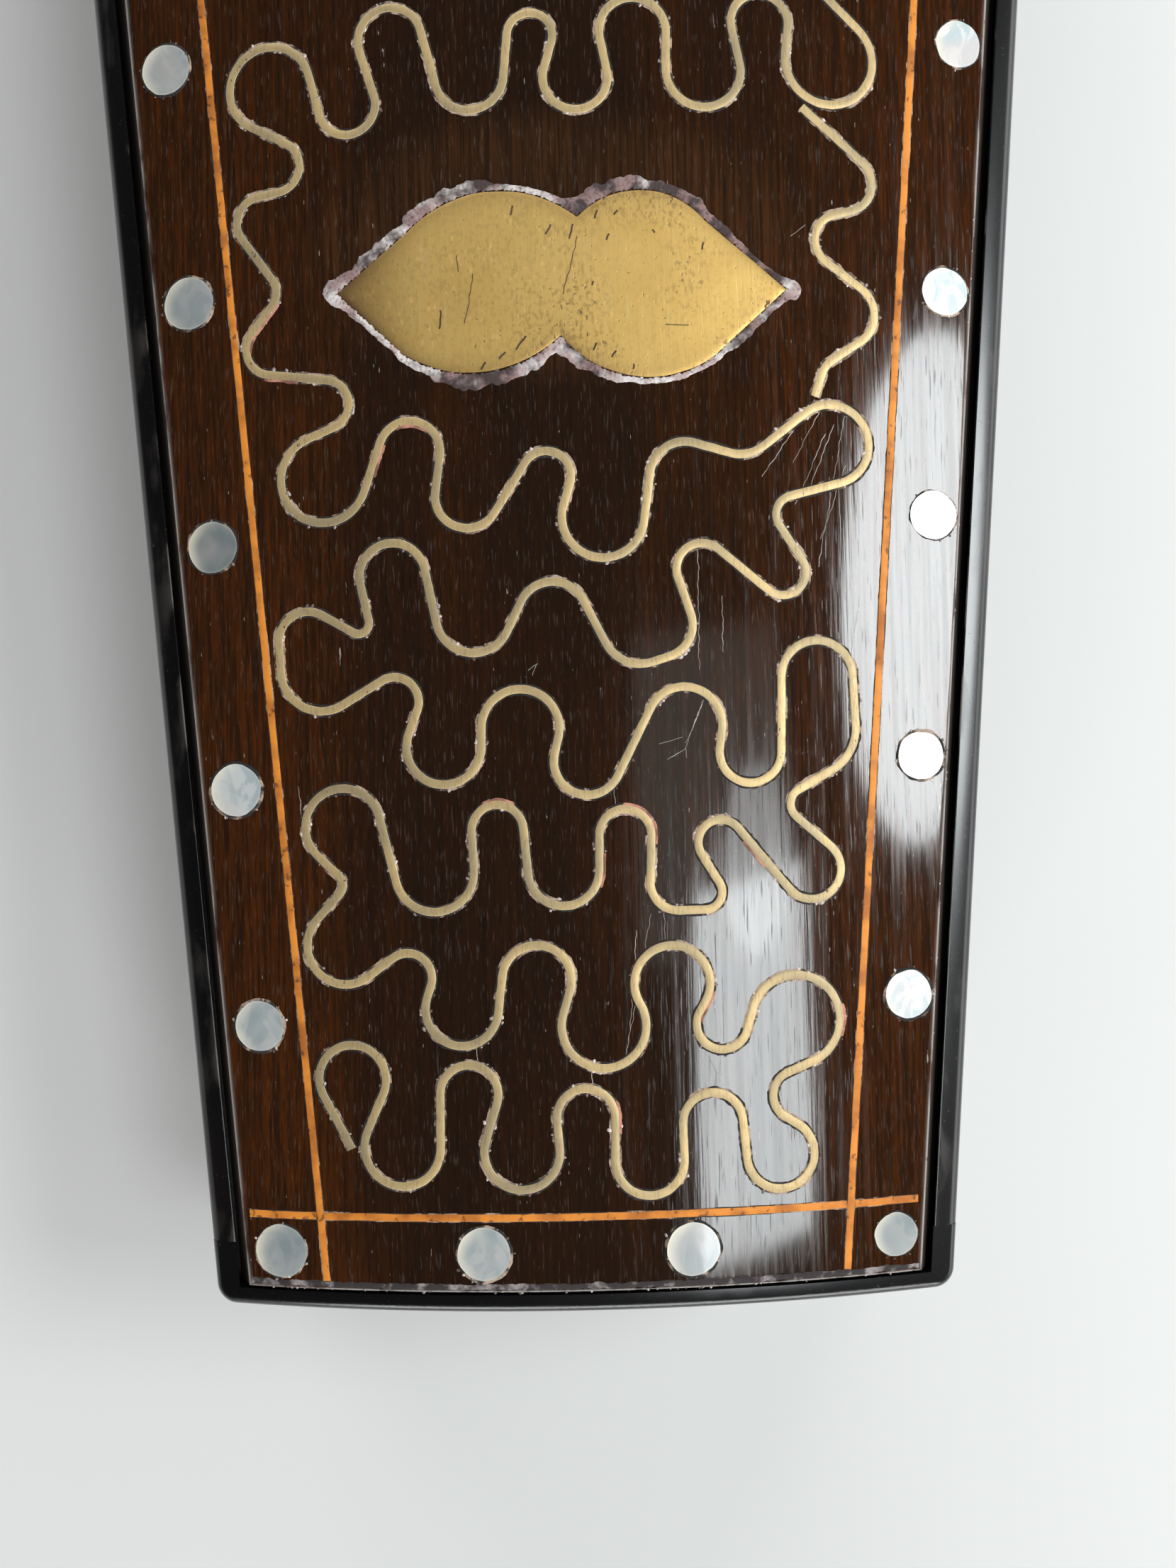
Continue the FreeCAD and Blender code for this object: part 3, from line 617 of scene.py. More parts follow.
@dataclass(frozen=True)
class Pearl(Finish):
    """Mother of pearl, from grey-blue to white by its tone, which is mostly painted light and shade, with a
    yellowed rim that carries a painted highlight on one side.
    """

    name: str = "pearl_shell"
    grey: Colour = (0.125, 0.145, 0.15)
    mist: Colour = (0.235, 0.235, 0.225)
    white: Colour = (0.74, 0.77, 0.76)
    sheen: Colour = (0.50, 0.58, 0.60)
    blush: Colour = (0.66, 0.55, 0.52)
    yellowed: Colour = (0.80, 0.74, 0.58)
    stain: Colour = (0.13, 0.11, 0.085)

    def sockets(self, s: Shader) -> dict[str, Any]:
        """Growth bands, a yellowed rim with a painted highlight on one side and a few stained nicks.

        Args:
            s: Nodes of the material.

        Returns:
            Values and links of the shader's sockets.
        """
        band = s.noise((420, 260, 260), 3.0, 1.6)
        cloud = s.noise((180, 150, 150), 2.0, 0.5)
        rim = s.attribute("rim")
        lit = s.attribute("lit")
        tone = s.attribute("tone")
        nick = s.noise((1900, 2300, 1900), 3.0).band(0.70, 0.8)
        dark = s.blend(cloud.band(0.35, 0.65), self.grey, self.mist)
        light = s.blend(band.band(0.42, 0.58), self.white, self.sheen)
        light = s.blend(cloud.band(0.5, 0.66) * 0.5, light, self.blush)
        # Painted light and shade: the tone mixes a shaded grey-blue with a lit white.
        colour = s.blend(tone, dark, light)
        # Painted highlight on the lit side of the rim, with some yellowing all round it.
        glow = rim.band(0.45, 1.0) * lit.band(-0.2, 1.0) + rim.band(0.9, 1.0) * 0.3
        colour = s.blend(glow * (0.25 + cloud * 0.5), colour, self.yellowed)
        colour = s.blend(nick * rim * 0.6, colour, self.stain)
        return {
            "Base Color": colour,
            "Roughness": 0.14 + cloud * 0.16 + nick * 0.3,
            "Normal": s.bump(band * 0.3 + cloud - nick * 0.3, 0.02),
            "Coat Weight": 0.6,
            "Coat Roughness": 0.05,
            "Specular IOR Level": 0.6,
        }


@dataclass(frozen=True)
class Stringing(Finish):
    """Orange-brown wood line under the same varnish as the lid."""

    name: str = "orange_stringing_wood"
    orange: Colour = (0.60, 0.21, 0.03)
    brown: Colour = (0.34, 0.105, 0.017)
    nicks: Colour = (0.06, 0.022, 0.008)

    def sockets(self, s: Shader) -> dict[str, Any]:
        """Grain and dark nicks along the line.

        Args:
            s: Nodes of the material.

        Returns:
            Values and links of the shader's sockets.
        """
        grain = s.noise((380, 380, 380), 5.0)
        nick = s.noise((1500, 1300, 1300), 3.0).band(0.6, 0.7)
        colour = s.blend(grain.band(0.38, 0.68), self.orange, self.brown)
        colour = s.blend(nick * 0.7, colour, self.nicks)
        return {
            "Base Color": colour,
            "Roughness": 0.38 + grain * 0.2,
            "Normal": s.bump(grain - nick, 0.02),
            "Specular IOR Level": 0.2,
        }


@dataclass(frozen=True)
class Mastic(Finish):
    """Crumbly bedding mastic, from pale to dirty."""

    name: str = "mastic_pale"
    pale: Colour = (0.60, 0.53, 0.49)
    dirty: Colour = (0.085, 0.05, 0.043)
    spread: tuple[float, float] = (0.40, 0.56)
    guided: float = 0.0
    pink: Colour = (0.30, 0.19, 0.18)

    def sockets(self, s: Shader) -> dict[str, Any]:
        """Crumbs and dirt, paler where the mesh says so and pink in patches there.

        Args:
            s: Nodes of the material.

        Returns:
            Values and links of the shader's sockets.
        """
        lump = s.noise((700, 700, 700), 5.0)
        crumb = s.noise((3200, 3200, 3200), 3.0)
        patch = s.noise((170, 170, 170), 4.0, 0.8)
        mixed = patch * 0.45 + lump * 0.55 - s.attribute("pale") * self.guided
        colour = s.blend(mixed.band(*self.spread), self.pale, self.dirty)
        pink = s.noise((420, 420, 420), 3.0).band(0.47, 0.6) * (self.guided * 1.9)
        colour = s.blend(pink, colour, self.pink)
        colour = s.blend(crumb.band(0.5, 0.7) * 0.6, colour, self.dirty)
        return {
            "Base Color": colour,
            "Roughness": 0.75 + crumb * 0.2,
            "Normal": s.bump(lump + crumb * 0.4, 0.06),
        }


@dataclass(frozen=True)
class FloorPaint(Finish):
    """Plain pale floor."""

    name: str = "pale_floor"
    pale: Colour = (0.63, 0.63, 0.62)
    shade: Colour = (0.585, 0.585, 0.575)

    def sockets(self, s: Shader) -> dict[str, Any]:
        """Hardly any change over the floor.

        Args:
            s: Nodes of the material.

        Returns:
            Values and links of the shader's sockets.
        """
        cloud = s.noise((9, 9, 9), 4.0)
        return {"Base Color": s.blend(cloud, self.pale, self.shade), "Roughness": 0.75 + cloud * 0.1}


# Raw wood darkened as painted shade, for the lid's bevelled edges that lie in the shadowed slot under the
# rail.
SLOT_SHADE_WOOD = RawWood("raw_wood_painted_shade", (0.03, 0.017, 0.01), (0.009, 0.006, 0.004))
DARK_BEDDING = Mastic("bedding_dark", (0.34, 0.25, 0.19), (0.006, 0.004, 0.0035), (0.41, 0.5))
RED_MASTIC = Mastic("mastic_red", (0.46, 0.20, 0.14), (0.15, 0.06, 0.04), (0.42, 0.6))
GREY_GRIME = Mastic("grime_grey", (0.24, 0.205, 0.205), (0.02, 0.014, 0.014), (0.38, 0.5))
PALE_SCRATCH = Mastic("scratch_pale", (0.46, 0.43, 0.40), (0.20, 0.18, 0.16))
DARK_SCRATCH = Mastic("scratch_dark", (0.06, 0.032, 0.014), (0.03, 0.016, 0.008))
PLAQUE_MASTIC = Mastic("mastic_plaque", (0.56, 0.51, 0.49), (0.04, 0.024, 0.023), (0.17, 0.41), 0.34)


# Pieces


def new_object(
    name: str, verts: Any, edges: Any, faces: Any, material: bpy.types.Material,
) -> bpy.types.Object:
    """A mesh object at the origin.

    Args:
        name: Name of the piece.
        verts: Points in millimetres.
        edges: Pairs of points, where the mesh has no faces.
        faces: Rings of points.
        material: Its first material.

    Returns:
        The object, linked to the scene.
    """
    mesh = bpy.data.meshes.new(name)
    mesh.from_pydata((np.asarray(verts, float) * MM).tolist(), edges, faces)
    mesh.materials.append(material)
    made = bpy.data.objects.new(name, mesh)
    bpy.context.scene.collection.objects.link(made)
    return made


def smooth(piece: bpy.types.Object, degrees: float) -> None:
    """Shade a piece smoothly, with creases.

    Args:
        piece: The piece.
        degrees: Angle between faces from which they meet in a crease.
    """
    piece.data.validate()
    piece.data.shade_smooth()
    piece.data.set_sharp_from_angle(angle=math.radians(degrees))


def keep_number(piece: bpy.types.Object, name: str, values: Any) -> None:
    """Keep one number for each point on the mesh."""
    attribute = piece.data.attributes.new(name, "FLOAT", "POINT")
    attribute.data.foreach_set("value", np.asarray(values, np.float32).ravel())


def sweep_faces(stations: int, ring: int, closed: bool = False) -> list[list[int]]:
    """Faces of a ring of points swept through stations.

    Args:
        stations: Number of rings.
        ring: Number of points in each.
        closed: Whether the last ring joins the first. Otherwise both ends are capped.

    Returns:
        Point numbers of each face.
    """
    faces = []
    for i in range(stations if closed else stations - 1):
        here, there = i * ring, (i + 1) % stations * ring
        for k in range(ring):
            j = (k + 1) % ring
            faces.append([here + k, here + j, there + j, there + k])
    if not closed:
        last = (stations - 1) * ring
        faces.append(list(range(ring - 1, -1, -1)))
        faces.append(list(range(last, last + ring)))
    return faces


def turn_outwards(piece: bpy.types.Object) -> None:
    """Turn a closed mesh the right way round if its volume comes out negative.

    Args:
        piece: The piece.
    """
    mesh = piece.data
    mesh.calc_loop_triangles()
    points = np.array([v.co for v in mesh.vertices])
    corners = points[np.array([t.vertices for t in mesh.loop_triangles])]
    volume = np.einsum("ij,ij->i", corners[:, 0], np.cross(corners[:, 1], corners[:, 2])).sum()
    if volume < 0:
        mesh.flip_normals()


def settle(piece: bpy.types.Object, body: Body, stands_for: Sequence[str] = ()) -> None:
    """Put a finished piece on its body and hide what it stands for.

    Args:
        piece: The piece.
        body: Body that it rides on.
        stands_for: Nodes that it replaces.
    """
    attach(piece, body.value)
    if stands_for:
        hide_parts(*stands_for)
    LOG.info("%s: %d faces on %s", piece.name, len(piece.data.polygons), body.value)


class Tree(Nodes):
    """A tree of Geometry Nodes with named inputs."""

    lift = 0.04
    detail = 3.0

    def __init__(self, name: str, sizes: Sequence[str]) -> None:
        """Make the tree with a geometry, its sizes and a material as inputs.

        Args:
            name: Name of the tree.
            sizes: Names of its sizes.
        """
        super().__init__(bpy.data.node_groups.new(name, "GeometryNodeTree"))
        face = self.tree.interface
        face.new_socket("Geometry", in_out="OUTPUT", socket_type="NodeSocketGeometry")
        face.new_socket("Geometry", in_out="INPUT", socket_type="NodeSocketGeometry")
        self.keys = {}
        kinds = {**dict.fromkeys(sizes, "NodeSocketFloat"), "Material": "NodeSocketMaterial"}
        for key, kind in kinds.items():
            self.keys[key] = face.new_socket(key, in_out="INPUT", socket_type=kind).identifier
        self.given = self.add("NodeGroupInput", {}, {})

    def size(self, name: str) -> Sock:
        """One of the named inputs."""
        return self.given.other(name)

    def place(self) -> Sock:
        """Coordinates of the points, split by axis."""
        return self.add("ShaderNodeSeparateXYZ", {}, {0: self.add("GeometryNodeInputPosition", {}, {})})

    def vector(self, kind: str, first: Sock, second: Colour) -> Sock:
        """A sum or product of a vector and three numbers."""
        return self.add("ShaderNodeVectorMath", {"operation": kind}, {0: first, 1: second})

    def shaken(self, geometry: Sock, amount: Sock, per_metre: Any) -> Sock:
        """Geometry whose points are pushed about by a noise, and hardly up or down.

        Args:
            geometry: What is pushed.
            amount: Reach of the push in metres.
            per_metre: Lumps of the noise per metre.

        Returns:
            The roughened geometry.
        """
        noise = self.add("ShaderNodeTexNoise", {}, {"Scale": per_metre, "Detail": self.detail}, "Color")
        level = self.vector("SUBTRACT", noise, (0.5, 0.5, 0.5))
        flat = self.vector("MULTIPLY", level, (1.0, 1.0, self.lift))
        push = self.add("ShaderNodeVectorMath", {"operation": "SCALE"}, {0: flat, "Scale": amount})
        return self.add("GeometryNodeSetPosition", {}, {"Geometry": geometry, "Offset": push})

    def laid(self, geometry: Sock, lower: Any) -> Sock:
        """Raise flat geometry to the crown.

        Args:
            geometry: What was drawn flat.
            lower: How far below the crown its middle lies.

        Returns:
            The geometry on the crown.
        """
        place = self.place()
        crown = Crown(unit=MM).height(place, place.other("Y"), Sock.root)
        push = self.add("ShaderNodeCombineXYZ", {}, {"Z": crown - lower})
        return self.add("GeometryNodeSetPosition", {}, {"Geometry": geometry, "Offset": push})

    def close(self, geometry: Sock) -> None:
        """End the tree in real, smooth and painted geometry.

        Args:
            geometry: What the tree has made.
        """
        real = self.add("GeometryNodeRealizeInstances", {}, {"Geometry": geometry})
        even = self.add("GeometryNodeSetShadeSmooth", {}, {"Geometry": real})
        painted = self.add("GeometryNodeSetMaterial", {}, {0: even, "Material": self.size("Material")})
        self.add("NodeGroupOutput", {}, {0: painted})

    def run(self, piece: bpy.types.Object, sizes: dict[str, float], material: bpy.types.Material) -> None:
        """Run the tree on a piece and keep the result as its plain mesh.

        Args:
            piece: Object with the points or lines that the tree starts from.
            sizes: Values of the named inputs, in metres.
            material: Finish of the result.
        """
        modifier = piece.modifiers.new(self.tree.name, "NODES")
        modifier.node_group = self.tree
        for name, value in {**sizes, "Material": material}.items():
            modifier[self.keys[name]] = value
        graph = bpy.context.evaluated_depsgraph_get()
        made = bpy.data.meshes.new_from_object(piece.evaluated_get(graph))
        piece.modifiers.remove(modifier)
        drawn = piece.data
        piece.data = made
        made.name = piece.name
        bpy.data.meshes.remove(drawn)


class StripTree(Tree):
    """Flat strip along lines, let into the crown."""

    corner_points = 2

    def __init__(self) -> None:
        """Sweep a rounded bar along the lines and lay it on the crown."""
        super().__init__("lay_strip", ("Width", "Depth", "Proud", "Rounding", "Ragged", "Grit"))
        lines = self.add("GeometryNodeMeshToCurve", {}, {0: self.size("Geometry")})
        level = self.add("GeometryNodeSetCurveNormal", {"mode": "Z_UP"}, {0: lines})
        sizes = {"Width": self.size("Width"), "Height": self.size("Depth")}
        bar = self.add("GeometryNodeCurvePrimitiveQuadrilateral", {"mode": "RECTANGLE"}, sizes)
        radius, count = self.size("Rounding"), self.corner_points
        sockets = {0: bar, "Count": count, "Radius": radius, "Limit Radius": True}
        bar = self.add("GeometryNodeFilletCurve", {"mode": "POLY"}, sockets)
        swept = self.add("GeometryNodeCurveToMesh", {}, {0: level, 1: bar, "Fill Caps": True})
        rough = self.shaken(swept, self.size("Ragged"), self.size("Grit"))
        self.close(self.laid(rough, self.size("Depth") * 0.5 - self.size("Proud")))


class DotTree(Tree):
    """Round plates set at points, let into the crown."""

    facets = {"Vertices": 72, "Side Segments": 2, "Fill Segments": 8}
    lit_slant = 0.25

    def __init__(self) -> None:
        """Put a plate at each point, roughen its outline and lay it on the crown."""
        super().__init__("set_dots", ("Radius", "Depth", "Proud", "Ragged", "Grit"))
        radius = self.size("Radius")
        sockets = {**self.facets, "Radius": radius, "Depth": self.size("Depth")}
        plate = self.add("GeometryNodeMeshCylinder", {"fill_type": "TRIANGLE_FAN"}, sockets)
        place = self.place()
        out = (place * place + place.other("Y") * place.other("Y")).root() / radius
        # Which side of a plate is lit, for the pearl's painted rim highlight.
        lit = (place.other("Y") * self.lit_slant - place) / radius
        for name, value in (("rim", out), ("lit", lit)):
            kinds = {"data_type": "FLOAT", "domain": "POINT"}
            sockets = {0: plate, "Name": name, "Value": value}
            plate = self.add("GeometryNodeStoreNamedAttribute", kinds, sockets)
        scale = self.add("GeometryNodeInputNamedAttribute", {"data_type": "FLOAT"}, {"Name": "scale"})
        spread = self.add("ShaderNodeCombineXYZ", {}, {"X": scale, "Y": scale, "Z": 1.0})
        sockets = {"Points": self.size("Geometry"), "Instance": plate, "Scale": spread}
        dots = self.add("GeometryNodeInstanceOnPoints", {}, sockets)
        dots = self.add("GeometryNodeRealizeInstances", {}, {"Geometry": dots})
        rough = self.shaken(dots, self.size("Ragged"), self.size("Grit"))
        self.close(self.laid(rough, self.size("Depth") * 0.5 - self.size("Proud")))


class CrumbTree(Tree):
    """Crumbs scattered over a surface."""

    length = 1.4
    flatness = 0.18
    full_turn = 6.283
    turn_seed = 7
    grit = 4000.0

    def __init__(self) -> None:
        """Scatter flattened lumps over the faces."""
        super().__init__("scatter_crumbs", ("Density", "Smallest", "Largest", "Seed"))
        sockets = {0: self.size("Geometry"), "Density": self.size("Density"), "Seed": self.size("Seed")}
        points = self.add("GeometryNodeDistributePointsOnFaces", {"distribute_method": "RANDOM"}, sockets)
        lump = self.add("GeometryNodeMeshIcoSphere", {}, {"Radius": 1.0, "Subdivisions": 1})
        sockets = {2: self.size("Smallest"), 3: self.size("Largest"), "Seed": self.size("Seed")}
        size = self.add("FunctionNodeRandomValue", {"data_type": "FLOAT"}, sockets, 1)
        spread = self.add("ShaderNodeCombineXYZ", {}, {
            "X": size, "Y": size * self.length, "Z": size * self.flatness,
        })
        sockets = {1: (self.full_turn,) * 3, "Seed": self.turn_seed}
        turn = self.add("FunctionNodeRandomValue", {"data_type": "FLOAT_VECTOR"}, sockets)
        flat = self.vector("MULTIPLY", turn, (0.0, 0.0, 1.0))
        sockets = {"Points": points, "Instance": lump, "Rotation": flat, "Scale": spread}
        crumbs = self.add("GeometryNodeInstanceOnPoints", {}, sockets)
        crumbs = self.add("GeometryNodeRealizeInstances", {}, {"Geometry": crumbs})
        self.close(self.shaken(crumbs, self.size("Largest"), self.grit))


@dataclass(frozen=True)
class Look:
    """Sizes for a run of a tree: lengths in millimetres, the rest as the tree takes it."""

    def inputs(self) -> dict[str, float]:
        """Values of the tree's inputs by name, with lengths in metres."""
        given = {field.name: getattr(self, field.name) for field in fields(self)}
        return {k.title(): v if k in ("grit", "density", "seed") else v * MM for k, v in given.items()}


@dataclass(frozen=True)
class StripLook(Look):
    """Sizes of a strip."""

    width: float
    depth: float
    proud: float
    rounding: float
    ragged: float
    grit: float


@dataclass(frozen=True)
class DotLook(Look):
    """Sizes of round plates."""

    radius: float
    depth: float
    proud: float
    ragged: float
    grit: float


@dataclass(frozen=True)
class CrumbLook(Look):
    """Number per square metre, half sizes and seed of crumbs."""

    density: float
    smallest: float
    largest: float
    seed: int


# The brass strip's line


STRIP_START = (-22.0, -81.6)
ROW_ONE = [
    (-21.8, -75.0, -3.2), (-17.2, -81.6, 3.6), (-10.7, -76.7, -2.7), (-5.8, -82.3, 3.5),
    (0.4, -79.2, -2.7), (6.4, -83.4, 3.2), (12.5, -79.9, -2.8), (18.9, -83.0, 3.2), (20.6, -77.4, -2.3),
]
ROW_TWO = [
    (20.6, -70.3, 4.2), (13.6, -70.5, -2.4), (8.9, -66.6, 3.5), (2.3, -70.5, -3.9), (-4.0, -66.0, 3.2),
    (-11.2, -68.6, -3.4), (-16.3, -65.5, 2.3), (-22.2, -62.3, -3.6), (-23.3, -56.5, 1.1),
]
ROW_THREE = [
    (-22.1, -51.0, -3.6), (-13.5, -55.5, 3.7), (-7.4, -51.7, -2.4), (-1.2, -55.6, 3.3), (4.75, -52.4, -2.4),
    (9.7, -57.0, 2.6), (12.2, -58.0, 1.6), (13.8, -53.3, -2.1), (22.4, -56.0, 2.8), (22.0, -49.8, -1.5),
]
ROW_FOUR = [
    (22.3, -42.5, 4.6), (23.3, -37.7, 3.4), (16.8, -44.7, -2.9), (10.6, -42.0, 3.5), (1.3, -45.3, -3.1),
    (-5.0, -42.0, 3.6), (-12.3, -43.6, -3.5), (-16.9, -39.2, 2.3), (-23.7, -35.8, -4.0), (-25.0, -33.2, -2.8),
    (-20.1, -31.6, 1.0),
]
ROW_FIVE = [
    (-16.8, -27.2, -3.1), (-9.2, -31.1, 3.5), (-1.7, -31.4, -3.2), (6.6, -32.4, 3.6), (8.4, -32.4, 3.1),
    (12.6, -27.2, -2.4), (20.2, -27.6, 2.2), (21.5, -22.2, -1.8),
]
ROW_SIX = [
    (25.0, -15.5, 3.7), (16.4, -12.6, -3.6), (11.2, -18.4, 3.3), (3.3, -22.0, -3.8), (-2.0, -18.0, 2.3),
    (-9.5, -19.7, -3.0), (-14.9, -15.4, 2.9), (-23.1, -17.7, -4.1), (-22.8, -10.6, 2.3),
]
LEFT_LINK = [
    (-27.7, -5.0, -2.5), (-29.2, 0.3, 2.1), (-28.4, 7.2, -2.4), (-27.0, 12.4, 2.4),
]
ROW_SEVEN = [
    (-27.3, 20.0, -3.9), (-20.0, 18.0, 2.7), (-15.8, 24.2, -3.0), (-8.4, 20.5, 3.2), (-2.6, 24.2, -2.1),
    (1.6, 20.1, 3.0), (7.1, 24.4, -3.1), (13.7, 20.6, 3.5), (19.1, 25.0, -2.7), (25.6, 21.4, 4.2),
]
RIGHT_LINK_START = (22.9, 16.9)
RIGHT_LINK_END = (23.6, -10.9)
RIGHT_LINK = [
    (26.8, 9.6, -2.7), (26.4, 4.0, 2.5), (26.5, -3.0, -3.0), (26.6, -9.6, 2.4),
]
PLAQUE_TIPS = ((-21.6, 0.0), (21.4, -0.6))
PLAQUE_TOP = ((-14.5, 6.0), (-6.5, 9.6), (1.5, 6.9), (7.0, 9.4), (13.5, 6.4))
PLAQUE_BOTTOM = ((-15.3, -6.2), (-8.5, -8.2), (-0.3, -4.8), (7.5, -9.0), (14.3, -7.0))
# Mastic round the plaque from tip to tip: place across, width and how pale it is
BED_TOP = (
    (-21.6, 1.1, 0.8), (-19.5, 0.9, 0.55), (-15.0, 0.95, 0.6), (-11.0, 1.1, 0.4), (-7.5, 0.9, 0.25),
    (-5.0, 0.35, 0.5), (-1.5, 0.4, 0.7), (0.6, 0.9, 0.5), (2.0, 1.4, 0.3), (5.0, 1.2, 0.35),
    (8.0, 0.9, 0.75), (10.0, 0.8, 0.3), (13.0, 0.9, 0.15), (15.5, 0.6, 0.1), (18.0, 0.3, 0.05),
    (20.0, 0.3, 0.3), (21.4, 1.2, 0.7),
)
BED_BOTTOM = (
    (-21.6, 1.0, 0.9), (-19.0, 0.4, 0.9), (-15.5, 0.4, 1.0), (-13.0, 0.6, 0.7), (-11.0, 1.2, 0.3),
    (-7.5, 1.3, 0.3), (-4.0, 1.0, 0.6), (-1.0, 0.9, 0.9), (0.5, 1.1, 0.4), (3.0, 0.8, 0.6),
    (6.0, 0.45, 0.9), (11.0, 0.35, 1.0), (15.0, 0.4, 0.9), (17.0, 0.9, 0.3), (18.5, 0.5, 0.6),
    (20.5, 0.6, 0.5), (21.4, 1.2, 0.7),
)
# Its section from the brass outwards: share of that width, or millimetres where negative, and height
BED_SECTION = (
    (-0.22, -0.5), (-0.2, -0.06), (0.1, 0.04), (0.3, 0.07), (0.5, 0.06), (0.7, 0.06), (0.88, 0.02),
    (1.0, -0.05), (1.0, -0.5),
)
# Places where red mastic shows beside the strip
RED_PATCHES = (
    (9.4, -51.3), (4.5, -55.7), (15.6, -55.7), (13.1, -69.5), (27.1, -70.5), (6.1, -79.2), (6.6, -49.1),
    (-17.0, -16.5), (-14.5, -12.7), (-28.9, -4.3), (-27.2, -9.0), (-27.2, -2.9), (-7.2, -48.8),
)
# Dark scratches on the plaque
PLATE_SCRATCHES = (
    (-8.4, 1.5, -9.3, -3.2), (1.5, 4.8, 0.0, -0.7), (-9.9, 3.3, -9.8, 1.7), (11.8, -3.9, 9.6, -3.8),
)
# Short dark pits in the plaque
PLATE_PITS = (
    (-4.5, 7.9, -4.7, 7.0), (-1.0, 6.0, -1.5, 5.1), (1.1, 6.0, 0.7, 4.6), (3.4, 7.3, 3.1, 6.5),
    (5.3, 7.2, 5.0, 6.8), (4.4, 5.0, 4.2, 4.4), (8.6, 5.3, 8.8, 5.0), (13.4, 4.0, 13.2, 3.3),
    (-11.6, -1.9, -11.7, -3.7), (-5.5, -6.1, -6.2, -6.7), (-7.4, -7.0, -7.9, -7.7), (-3.6, -4.6, -4.6, -5.9),
    (3.1, -5.4, 2.7, -6.1), (4.9, -6.2, 4.5, -6.8), (6.6, -7.5, 6.5, -8.0), (2.9, 0.5, 2.8, 0.1),
)
# Scratches and hair cracks, as start and end places read in the same way
SCRATCHES = (
    (3.8, -47.3, 3.9, -50.2), (8.2, -59.6, 8.3, -62.4), (-9.9, -71.6, -9.8, -74.2),
    (1.0, -74.2, 1.1, -77.0), (12.2, -73.6, 13.6, -76.6), (23.6, -11.2, 18.4, -18.5),
    (24.1, -12.2, 21.4, -17.2), (26.4, -12.8, 23.6, -27.2), (24.5, -14.5, 21.6, -21.2),
    (26.4, -17.5, 23.9, -24.6), (25.4, -13.6, 22.6, -20.4), (12.6, -39.2, 10.6, -44.3),
    (12.4, -39.8, 10.7, -43.8), (10.6, -44.3, 8.9, -45.3), (10.6, -44.2, 10.7, -45.2),
    (10.4, -43.2, 8.1, -43.8), (12.2, -24.9, 12.1, -36.8), (14.4, -29.8, 14.4, -35.2),
    (-4.1, -36.5, -3.3, -35.9), (-3.3, -35.9, -3.7, -37.0), (7.0, -60.0, 4.2, -74.0),
    (5.6, -61.5, 4.6, -72.6), (21.7, 4.5, 23.0, 5.6), (-2.6, 27.5, -1.8, 31.0),
    (-26.2, -47.0, -26.0, -51.0), (27.5, -30.0, 26.4, -36.4),
)
# Range of the pearls' tones by node, which are mostly painted light and shade, darker in the left row and
# brighter in the right, with a random spread; and the pearls whose tone is set
DOT_PAINTED_LIGHT = {
    "left_dots": (0.05, 0.5), "right_dots": (0.65, 1.0), "narrow_dots": (0.12, 0.4), "wide_dots": (0.2, 0.8),
}
SET_PAINTED_LIGHT = {"left_dots": (3, 0.0), "right_dots": (0, 0.22)}


@dataclass(frozen=True)
class Reading:
    """How places read off the square-on picture become places on the lid, as in the part's source."""

    eye: tuple[float, float] = (2.3, -47.4)
    distance: float = 150.0
    crown: float = 5.0
    middle: float = -1.0
    half_width: float = 42.5
    field_middle: float = 0.2
    field_half: float = 31.3
    field_slope: float = 0.073
    field_length: float = 172.4
    repeat_from: float = 22.2
    repeat_near: float = 28.6
    repeat_end: float = 86.0
    repeat_far: float = 84.0

    def on_lid(self, across: float, along: float, repeated: bool = False) -> tuple[Point, float]:
        """Place on the lid.

        Args:
            across: Place across, read from the middle of the plaque.
            along: Place along.
            repeated: Whether the place belongs to the rows mirrored beyond the plaque.

        Returns:
            The place in millimetres, and how much larger the pattern is there.
        """
        read_edge = self.half_width + PLAN.slope * along
        nearer = self.crown * (1 - (across / read_edge) ** 2) / self.distance
        across = self.eye[0] + (across - self.eye[0]) * (1 - nearer)
        along = self.eye[1] + (along - self.eye[1]) * (1 - nearer)
        read_half = self.field_half + self.field_slope * along
        stretch = (PLAN.length - 2 * PLAN.string_margin_end) / self.field_length
        press = 1.0
        if repeated:
            press = (self.repeat_far - self.repeat_near) / (self.repeat_end - self.repeat_from)
            along = self.repeat_near + press * (-along - self.repeat_from)
        y = (along - self.middle) * stretch
        margins = PLAN.string_margin_left + PLAN.string_margin_right
        widen = (PLAN.half_width(y) - margins / 2) / read_half
        middle = (PLAN.string_margin_left - PLAN.string_margin_right) / 2
        return np.array((middle + (across - self.field_middle) * widen, y)), min(stretch * press, widen)


READING = Reading()


